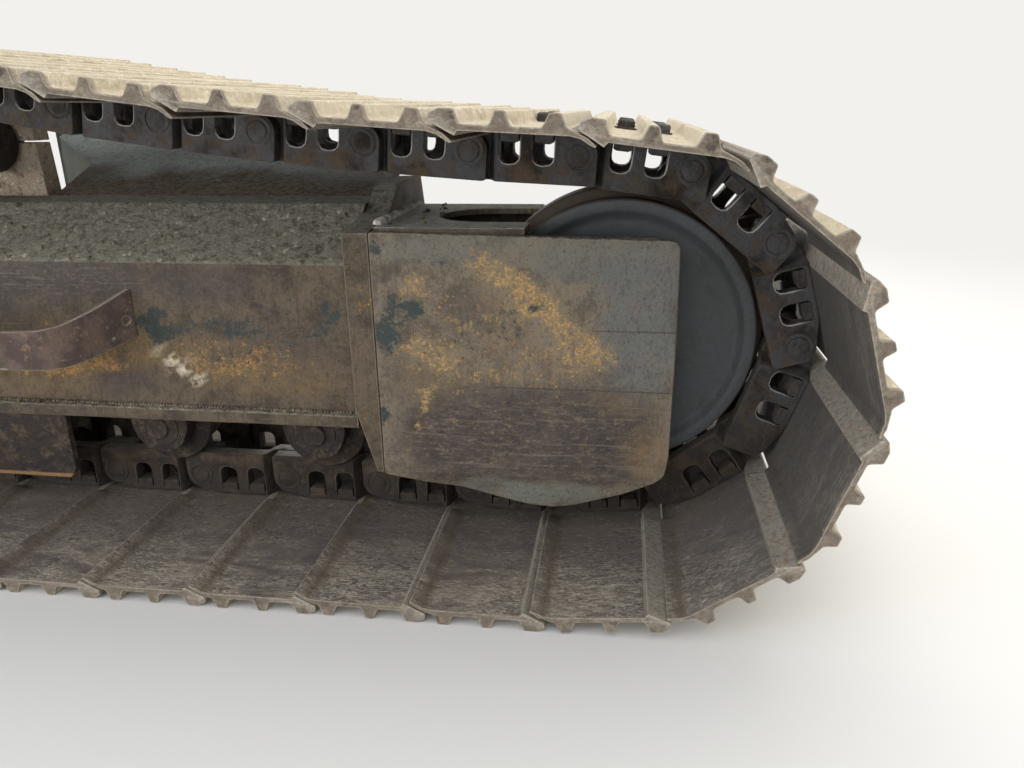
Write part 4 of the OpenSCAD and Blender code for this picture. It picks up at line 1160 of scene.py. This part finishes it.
def beamMesh():
    w, c, r, z = beam["halfWidth"], beam["crease"], beam["ridgeHalf"], beam["ridge"]
    t = beam["plate"]
    outer = [(-w, beam["bottom"])]
    rows = beam["rows"]
    outer += [(-w, beam["bottom"] + (c - beam["bottom"]) * k / rows) for k in range(1, rows)]
    outer += [(-w, c)] + [(-w + (w - r) * k / 4, c + (z - c) * k / 4) for k in range(1, 4)] + [(-r, z), (0, z)]
    outer += [(-y, h) for y, h in reversed(outer[:-1])]
    corner = {rows: beam["foldRadius"], rows + 4: 14, rows + 6: 14, rows + 10: beam["foldRadius"]}
    rounded = roundCorners(outer, [corner.get(k, 0) for k in range(len(outer))], 5)
    inner = [(w - t, beam["bottom"]), (w - t, c - 5), (r - 4, z - t), (-r + 4, z - t), (-w + t, c - 5),
             (-w + t, beam["bottom"])]
    soft = dented(beam["dent"], 260, 3)
    fine = dented(0.5, 60, 8)

    def shift(x, y, z):
        amount = (soft(x, y, z) + fine(x, y, z)) * smooth(beam["bottom"], beam["bottom"] + 30, z)
        near = min(smooth(beamX0, beamX0 + 60, x), smooth(beamX1, beamX1 - 60, x))
        return (-math.copysign(amount, y) * near - math.copysign(1.2, y) * near, -abs(amount) * 0.4 * near)

    return sweepX("side_beam", rounded + inner, beamX0, beamX1, 24, shift)


def paintSpots(mesh, spots, rightSide, ragged=12):
    for key, places in spots.items():
        rule = spotRule(places, ragged)
        paintAttribute(mesh, key, lambda x, y, z: rule(x, y, z) if rightSide(x, y, z) else 0.0)
    return mesh


beamPlate = beamMesh()
paintSpots(beamPlate, beamSpots, lambda x, y, z: y < -beam["halfWidth"] + 8)
paintAttribute(beamPlate, "byHand", lambda x, y, z: smooth(-1450, -1250, x - idlerX) if y < 0 else 0.0)
addMesh("side_beam_plate", beamPlate, finish["frame"], "frame_paint", "frame_beam")


def railMesh(node):
    low, high = (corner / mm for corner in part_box(node))
    section = roundCorners([(low.y, low.z), (high.y, low.z), (high.y, high.z), (low.y, high.z)], 4, 3)
    wave = dented(1.6, 110, 5)
    outer = low.y if low.y < 0 else high.y

    def shift(x, y, z):
        edge = 1 if abs(y - outer) < 10 else 0
        return (-abs(wave(x, y, z)) * edge * math.copysign(1, y), wave(x, y, z) * 0.5 * edge)

    return sweepX(node + "_bar", section, low.x, high.x, 18, shift)


for node in ("roller_rail_outer", "roller_rail_inner"):
    addMesh(node + "_bar", railMesh(node), finish["frame"], "frame_paint", node)
for node, ease in (("front_bulkhead", 3), ("rear_bulkhead", 2), ("box_side_outer", 2.5), ("box_side_inner", 2.5),
                   ("drive_bracket", 4), ("motor_guard", 2)):
    addMesh(node + "_plate", easedCopy(node, ease), finish["frame"], "frame_paint", node)
addMesh("box_top_plate", easedCopy("box_top", 2), finish["boxTop"], "frame_paint", "box_top")
for node in ("leg_front", "leg_rear", "leg_flange_front", "leg_flange_rear"):
    legMesh = diceMesh(easedCopy(node, 3), 1, range(60, 300, 15))
    diceMesh(legMesh, 0, [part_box(node)[0].x / mm + 25 * k for k in range(1, 30)])
    paintAttribute(legMesh, "soil", lambda x, y, z: smooth(240, 140, y + noise.noise(Vector((x, y, z)) / 70) * 60))
    addMesh(node + "_plate", legMesh, finish["leg"], "leg_paint", node)
for node, coating in (("track_guide_front", "guide"), ("track_guide_rear", "guide"), ("step_rear", "rusty")):
    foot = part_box(node)[0].z / mm + 8      # the guides' feet are rubbed by the chain
    barMesh = diceMesh(easedCopy(node, 2.5), 2, (foot, foot + 3))
    addMesh(node + "_bar", paintAttribute(barMesh, "worn", lambda x, y, z: 1.0 if z < foot + 1 else 0.0),
            finish[coating], "rusty_steel", node)

step = {
    "thickness": 10,
    "bendRadius": 34,
    "holeRadius": 8,
    "holes": ((14, 424), (560, 398)),      # past the front end along the bar, and over the ground
    # past the idler's axle, Y, middle height and height of the bar: it has been knocked out of line
    "line": ((-894, -180, 436, 92), (-930, -238, 413, 84), (-966, -286, 397, 77), (-1000, -295, 393, 73),
             (-1090, -296, 391, 69), (-1290, -291, 396, 72), (-1490, -293, 401, 71), (-1530, -287, 404, 73),
             (-1584, -180, 408, 75)),
}


# a flat bar, cut and drilled first and then bent to its line
def stepMesh():
    places = [Vector((idlerX + x, y)) for x, y, _, _ in step["line"]]
    run = [0]
    for here, ahead in zip(places, places[1:]):
        run.append(run[-1] + (ahead - here).length)
    lowEdge = [(s, middle - height / 2) for s, (_, _, middle, height) in zip(run, step["line"])]
    highEdge = [(s, middle + height / 2) for s, (_, _, middle, height) in zip(run, step["line"])]
    outline = roundCorners(lowEdge + highEdge[::-1], [4] + [60] * 7 + [4, 4] + [60] * 7 + [4], 3)
    holes = [[(s + step["holeRadius"] * math.cos(a * math.pi / 8), z + step["holeRadius"] * math.sin(a * math.pi / 8))
              for a in range(16)] for s, z in step["holes"]]
    half = step["thickness"] / 2
    mesh = plateMesh("step_front_bar", outline, -half, half, 1.6, holes)
    diceMesh(mesh, 0, [run[-1] * k / 110 for k in range(1, 110)])

    def onLine(s):
        s = min(max(s, 0), run[-1])
        i = max(k for k in range(len(run) - 1) if run[k] <= s + 1e-6)
        return places[i].lerp(places[i + 1], (s - run[i]) / (run[i + 1] - run[i]))

    def bent(s, t, z):
        reach = step["bendRadius"]
        spread = [onLine(s + reach * (k / 6 - 1)) for k in range(13)]
        centre = sum(spread, Vector((0, 0))) / len(spread)
        if s < reach or s > run[-1] - reach:
            keep = min(s, run[-1] - s) / reach
            centre = onLine(s).lerp(centre, max(keep, 0))
        ahead = (onLine(s + reach * 0.6) - onLine(s - reach * 0.6)).normalized()
        return centre.x - ahead.y * t - s, centre.y + ahead.x * t - t, 0

    moveVertices(mesh, bent)
    return tidyMesh(mesh, 30)


addMesh("step_front_bar", stepMesh(), finish["rusty"], "rusty_steel", "step_front")

# covers of the idler box

cover = {
    "thickness": 16,
    "ease": 3,
    "bendHeight": 148,        # under it the lower lip is bent inward
    "bend": 0.16,
    "dent": 1.6,
}


coverSpots = {
    "yellow": [(-240, 540, 20, 30, 0, 0.8), (-221, 526, 30, 24, -30, 0.9), (-188, 512, 32, 26, -30, 0.95),
               (-156, 497, 34, 28, -35, 1.0), (-144, 462, 24, 22, 0, 1.0), (-116, 462, 34, 26, -40, 1.0),
               (-86, 427, 28, 26, -45, 0.9), (-351, 501, 35, 20, 0, 0.9), (-336, 389, 34, 30, 0, 0.85),
               (-308, 362, 36, 28, 0, 0.8), (-225, 338, 50, 17, 0, 0.6), (-160, 340, 50, 17, 0, 0.65),
               (-95, 337, 40, 20, 0, 0.7), (-61, 397, 52, 34, -10, 0.9), (-20, 380, 26, 22, 0, 0.7),
               (-335, 300, 12, 14, 0, 0.9), (-343, 283, 11, 22, 20, 1.0), (-358, 246, 10, 26, 16, 0.9),
               (-376, 204, 9, 26, 14, 0.75), (-316, 313, 90, 5, 1, 0.6), (-328, 362, 60, 60, 0, 0.45),
               (-220, 430, 120, 90, 0, 0.42), (-330, 410, 90, 110, 0, 0.4), (-110, 385, 90, 60, 0, 0.5)],
    "primer": [(-402, 411, 24, 36, 0, 0.95), (-351, 460, 22, 16, 0, 0.95), (-380, 440, 30, 20, 0, 0.6),
               (-190, 430, 40, 40, 0, 0.35), (-250, 400, 40, 30, 0, 0.3), (-423, 254, 14, 14, 0, 0.9),
               (-136, 462, 13, 13, 0, 0.8), (-415, 560, 16, 14, 0, 0.9), (-390, 470, 18, 16, 0, 0.7),
               (-300, 540, 18, 10, 0, 0.5)],
    "scraped": [(-270, 225, 120, 88, 0, 1.0), (-32, 246, 100, 70, 0, 1.0), (-160, 250, 130, 74, 0, 0.95),
                (-70, 180, 140, 46, 0, 0.85), (-240, 160, 140, 38, 0, 0.8), (-250, 450, 50, 40, 0, 0.5),
                (-20, 300, 90, 30, 0, 0.7), (-380, 330, 30, 60, 0, 0.4)],
    "slate": [(40, 420, 66, 110, 0, 0.9), (30, 520, 80, 60, 0, 0.95), (-60, 545, 90, 36, 0, 0.7),
              (-300, 560, 110, 26, 0, 0.5)],
    "warm": [(60, 205, 44, 50, 0, 0.9), (20, 300, 70, 20, 0, 0.4), (-200, 445, 40, 60, 0, 0.5),
             (-330, 340, 70, 60, 0, 0.4)],
    "steel": [(-137, 116, 74, 22, 0, 1.0), (-60, 118, 50, 20, 0, 0.6), (-230, 128, 50, 16, 0, 0.5)],
    "dusty": [(-180, 562, 260, 22, 0, 0.9), (50, 560, 60, 26, 0, 0.7)],
}
scoredHeights = {321: (-215, 95), 428: (-40, 95)}      # shallow score lines, from and to past the idler's axle


def scoredRule(x, y, z):
    return max((1.0 if abs(z - height) < 0.6 and low < x - idlerX < high else 0.0)
               for height, (low, high) in scoredHeights.items())


def coverMesh(node):
    low, high = (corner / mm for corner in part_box(node))
    x0, x1 = low.x, idlerX + 96
    top = 595
    outline = [(x0, 140), (idlerX - 341, 127), (idlerX - 275, 120), (idlerX - 217, 104), (idlerX - 154, 89),
               (idlerX - 109, 85), (idlerX - 71, 91), (idlerX + 16, 120), (x1 - 25, 146), (x1 - 6, 162),
               (x1, 200), (x1 + 2, 434), (x1, top - 28), (x1 - 4, top - 18), (x1 - 16, top - 14), (x0, top - 4)]
    outline = roundCorners(outline, [12, 60, 60, 60, 60, 60, 60, 60, 30, 20, 30, 60, 10, 10, 10, 6], 4)
    mesh = plateMesh(node, outline, low.y, high.y, cover["ease"])
    diceMesh(mesh, 0, [x0 + 14 * k for k in range(1, 38)])
    diceMesh(mesh, 2, [90 + 13 * k for k in range(1, 38)] + [cover["bendHeight"], cover["bendHeight"] - 5])
    diceMesh(mesh, 2, [height + side for height in scoredHeights for side in (-1.6, 0, 1.6)])
    outside = -1 if low.y < 0 else 1
    soft = dented(cover["dent"], 150, 11)
    fine = dented(0.45, 40, 2)

    def shift(x, y, z):
        lip = max(0, cover["bendHeight"] - z) * cover["bend"]
        amount = (soft(x, y, z) + fine(x, y, z) - 1.2) if abs(y) > abs(high.y + low.y) / 2 else 0
        return 0, outside * (amount - lip), 0

    moveVertices(mesh, shift)
    tidyMesh(mesh, 30, flip=False)
    paintAttribute(mesh, "scored", scoredRule)
    return paintSpots(mesh, coverSpots, lambda x, y, z: True, 9)


for node in ("box_cover_outer", "box_cover_inner"):
    addMesh(node + "_plate", coverMesh(node), finish["cover"], "cover_paint", node)

# weld beads, each a row of ripples

weld = {
    "radius": 4.2,
    "thickness": 3.2,
    "long": 6.2,              # step of the ripples on the long seams
    "topScale": 1.9,          # the bead on top of the bulkhead is the heaviest
}
beamEnds = (beamX0 + 30, beamX1 - 14)
bulkLow, bulkHigh = (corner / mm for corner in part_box("front_bulkhead"))
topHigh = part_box("box_top")[1].z / mm
seams = []
for side in (-1, 1):
    w = beam["halfWidth"] * side
    seams += weldLine((beamEnds[0], w * 1.005, beam["bottom"] + 1), (beamEnds[1], w * 1.005, beam["bottom"] + 1),
                      weld["long"])
    seams += weldLine((beamX1 + 1, w * 0.985, beam["bottom"] + 12), (beamX1 + 1, w * 0.985, beam["crease"] - 14), 5.2)
    seams += weldLine((bulkHigh.x + 1, w * 0.96, 260), (bulkHigh.x + 1, w * 0.96, 560), 5.2)
topSeam = weldLine((bulkHigh.x + 2, -150, topHigh + 1.5), (bulkHigh.x + 2, 150, topHigh + 1.5))
bead = latheMesh("bead", [(0, -weld["thickness"]), (weld["radius"] * 0.8, -weld["thickness"] * 0.6),
                          (weld["radius"], 0), (weld["radius"] * 0.8, weld["thickness"] * 0.6),
                          (0, weld["thickness"])], 8)
for name, seam, coating in (("weld_beads", seams, "weld"), ("weld_beads_top", topSeam, "weldPaintedSunlit")):
    ripple = bead.copy()
    if seam is topSeam:
        ripple.transform(Matrix.Scale(weld["topScale"], 4))
    beads = repeatMesh(name, ripple, [place for place, _ in seam], [turn for _, turn in seam], finish[coating],
                       wobble=7, slip=0.5, sizeSpread=0.25, seed=41)
    finishPiece(beads, finish[coating], "frame_paint")

# clods of dried mud on the level and sloping tops

clods = {
    "slope": 150,
    "ledge": 60,
    "boxTop": 10,
}


def clodPlaces():
    draw = random.Random(17)
    made = []
    w, r = beam["halfWidth"], beam["ridgeHalf"]
    for _ in range(clods["slope"]):
        u = draw.random() ** 0.7
        made.append((draw.uniform(beamX0 + 40, beamX1 - 10), -(r + (w - r) * u) * draw.choice((-1, 1)),
                     beam["ridge"] - (beam["ridge"] - beam["crease"]) * u - 1))
    for _ in range(clods["ledge"]):
        rail = draw.choice(("roller_rail_outer", "roller_rail_inner"))
        low, high = (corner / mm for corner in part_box(rail))
        side = -1 if low.y < 0 else 1
        made.append((draw.uniform(low.x + 20, high.x - 20), side * (w + draw.uniform(3, 12)), high.z + 0.5))
    low, high = (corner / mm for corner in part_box("box_top"))
    for _ in range(clods["boxTop"]):
        made.append((draw.uniform(low.x + 12, low.x + 90), draw.uniform(low.y + 8, high.y - 8), high.z + 0.5))
    return made


clodSpots = clodPlaces()
clod = latheMesh("clod", [(0, -1.6), (2.4, -1.0), (2.9, 0.3), (1.6, 1.4), (0, 1.7)], 7)
mudPiece = repeatMesh("mud_clods", clod, clodSpots, [(0, 0, 0)] * len(clodSpots), finish["mud"], wobble=70, slip=0.6,
                      sizeSpread=1.3, seed=43)
finishPiece(mudPiece, finish["mud"], "frame_paint")
print("weld ripples:", len(seams), "clods:", len(clodSpots))

# drive end

driveShape = [(0, -186), (60, -186), (132, -178), (150, -164), (152, -118), (176, -112), (196, -96), (200, -48),
              (228, -44), (228, -26.3), (169.7, -26.3), (169.7, 32), (205, 36), (205, 92), (180, 118), (0, 118)]
addMesh("final_drive_housing", latheMesh("final_drive_housing", roundProfile(driveShape, 6), 96,
                                         (sprocketX, sprocketZ)), finish["drive"], "drive_paint", "final_drive")
addMesh("sprocket_ring", easedCopy("sprocket", 3), finish["forged"], "chain_steel", "sprocket")
addMesh("travel_motor_housing", easedCopy("travel_motor", 3), finish["drive"], "drive_paint", "travel_motor")
driveBolts = []
for count, radius, y in ((24, 214, -44), (12, 122, -180)):
    for k in range(count):
        a = 2 * math.pi * k / count
        driveBolts.append((sprocketX + radius * math.sin(a), y, sprocketZ + radius * math.cos(a)))
finishPiece(repeatMesh("drive_bolts", capBolt(15), driveBolts, [(0, 0, 0)] * len(driveBolts), finish["drive"],
                       seed=31), finish["drive"], "drive_paint")
print("side frame and drive end made")


camera = {
    "place": (idlerX * mm + 0.00195, -1.48997, 0.78663),
    "yaw": -8.081,
    "pitch": 19.425,
    "roll": -0.743,
    "focal": 27.634,
}


def makeCamera():
    yaw, down, roll = (math.radians(camera[k]) for k in ("yaw", "pitch", "roll"))
    forward = Vector((math.sin(yaw) * math.cos(down), math.cos(yaw) * math.cos(down), -math.sin(down)))
    right = Vector((math.cos(yaw), -math.sin(yaw), 0))
    up = right.cross(forward)
    across = right * math.cos(roll) + up * math.sin(roll)
    above = up * math.cos(roll) - right * math.sin(roll)
    data = bpy.data.cameras.new("photoCamera")
    data.lens, data.sensor_width, data.clip_start, data.clip_end = camera["focal"], 36, 0.05, 200
    made = makeObject("photoCamera", data)
    made.matrix_world = Matrix.Translation(camera["place"]) @ Matrix(
        (across, above, -forward)).transposed().to_4x4()
    bpy.context.scene.camera = made


makeCamera()


def areaLight(name, place, aim, size, power, colour):
    data = bpy.data.lights.new(name, "AREA")
    data.shape, data.size, data.energy, data.color = "DISK", size, power, hexToLinear(colour)[:3]
    made = makeObject(name, data)
    made.location = place
    made.rotation_mode = "QUATERNION"
    made.rotation_quaternion = (Vector(aim) - Vector(place)).to_track_quat("-Z", "Y")


areaLight("skyLight", (2.6, 2.2, 5.5), (0.8, 0, 0.4), 6.0, 185, "#fffaf2")
areaLight("highFrontLight", (1.4, -3.6, 4.4), (1.0, -0.2, 0.2), 3.5, 42, "#f6f8ff")
areaLight("lowFrontLight", (0.8, -5.4, 1.5), (0.8, 0, 0.5), 3.0, 40, "#f6f8ff")
areaLight("leftLight", (-3.2, -3.4, 1.3), (1.2, -0.1, 0.5), 2.4, 110, "#f8f9ff")
areaLight("inboardLight", (0.4, 4.6, 1.9), (0.8, 0, 0.6), 4.0, 135, "#fff8ee")
areaLight("sideLight", (6.0, -1.0, 2.4), (1.2, 0, 0.4), 3.5, 60, "#fff8ee")


def makeWorld():
    world = bpy.data.worlds.new("paleStudio")
    world.use_nodes = True
    tree = world.node_tree
    tree.nodes.clear()
    ray = addNode(tree, "ShaderNodeLightPath").outputs
    seen = addNode(tree, "ShaderNodeMath", {0: ray["Is Camera Ray"], 1: ray["Is Glossy Ray"]}, operation="MAXIMUM")
    shown = addNode(tree, "ShaderNodeMath", {0: seen.outputs[0], 1: ray["Is Transmission Ray"]}, operation="MAXIMUM")
    ambient = addNode(tree, "ShaderNodeBackground", {"Color": hexToLinear("#eef1f4"), "Strength": 0.95})
    backdrop = addNode(tree, "ShaderNodeBackground", {"Color": hexToLinear("#f2f1ee"), "Strength": 1.0})
    either = addNode(tree, "ShaderNodeMixShader", {0: shown.outputs[0], 1: ambient.outputs[0],
                                                   2: backdrop.outputs[0]})
    addNode(tree, "ShaderNodeOutputWorld", {"Surface": either.outputs[0]})
    bpy.context.scene.world = world


makeWorld()


# pale floor that fades into the backdrop's colour, for camera and mirror rays, some metres out
def makeFloor():
    material, tree = startMaterial("paleStudioFloor")
    ray = addNode(tree, "ShaderNodeLightPath").outputs
    seen = addNode(tree, "ShaderNodeMath", {0: ray["Is Camera Ray"], 1: ray["Is Glossy Ray"]}, operation="MAXIMUM")
    shown = addNode(tree, "ShaderNodeMath", {0: seen.outputs[0], 1: ray["Is Transmission Ray"]}, operation="MAXIMUM")
    place = addNode(tree, "ShaderNodeTexCoord").outputs["Object"]
    reach = addNode(tree, "ShaderNodeVectorMath", {0: place, 1: (1, 1.5, 1)}, operation="MULTIPLY")
    away = addNode(tree, "ShaderNodeVectorMath", {0: reach.outputs[0]}, operation="LENGTH")
    fade = addNode(tree, "ShaderNodeMapRange", {"Value": away.outputs["Value"], "From Min": 2.4, "From Max": 6.5},
                   interpolation_type="SMOOTHSTEP").outputs[0]
    near = addNode(tree, "ShaderNodeBsdfPrincipled", {"Base Color": hexToLinear("#d6d5d2"), "Roughness": 0.85})
    far = addNode(tree, "ShaderNodeEmission", {"Color": hexToLinear("#f2f1ee"), "Strength": 1.0})
    mixed = addNode(tree, "ShaderNodeMixShader", {0: times(tree, fade, shown.outputs[0]), 1: near.outputs[0],
                                                  2: far.outputs[0]})
    addNode(tree, "ShaderNodeOutputMaterial", {"Surface": mixed.outputs[0]})
    size = 30000
    floor = makeObject("studioFloor", meshFrom("studioFloor", [(-size, -size, 0), (size, -size, 0), (size, size, 0),
                                                               (-size, size, 0)], [(0, 1, 2, 3)]))
    floor.data.materials.append(material)


makeFloor()
bpy.context.scene.view_settings.view_transform = "Standard"

shown = sorted(name for name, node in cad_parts.items() if not node.hide_render)
print("CAD nodes still shown:", shown)
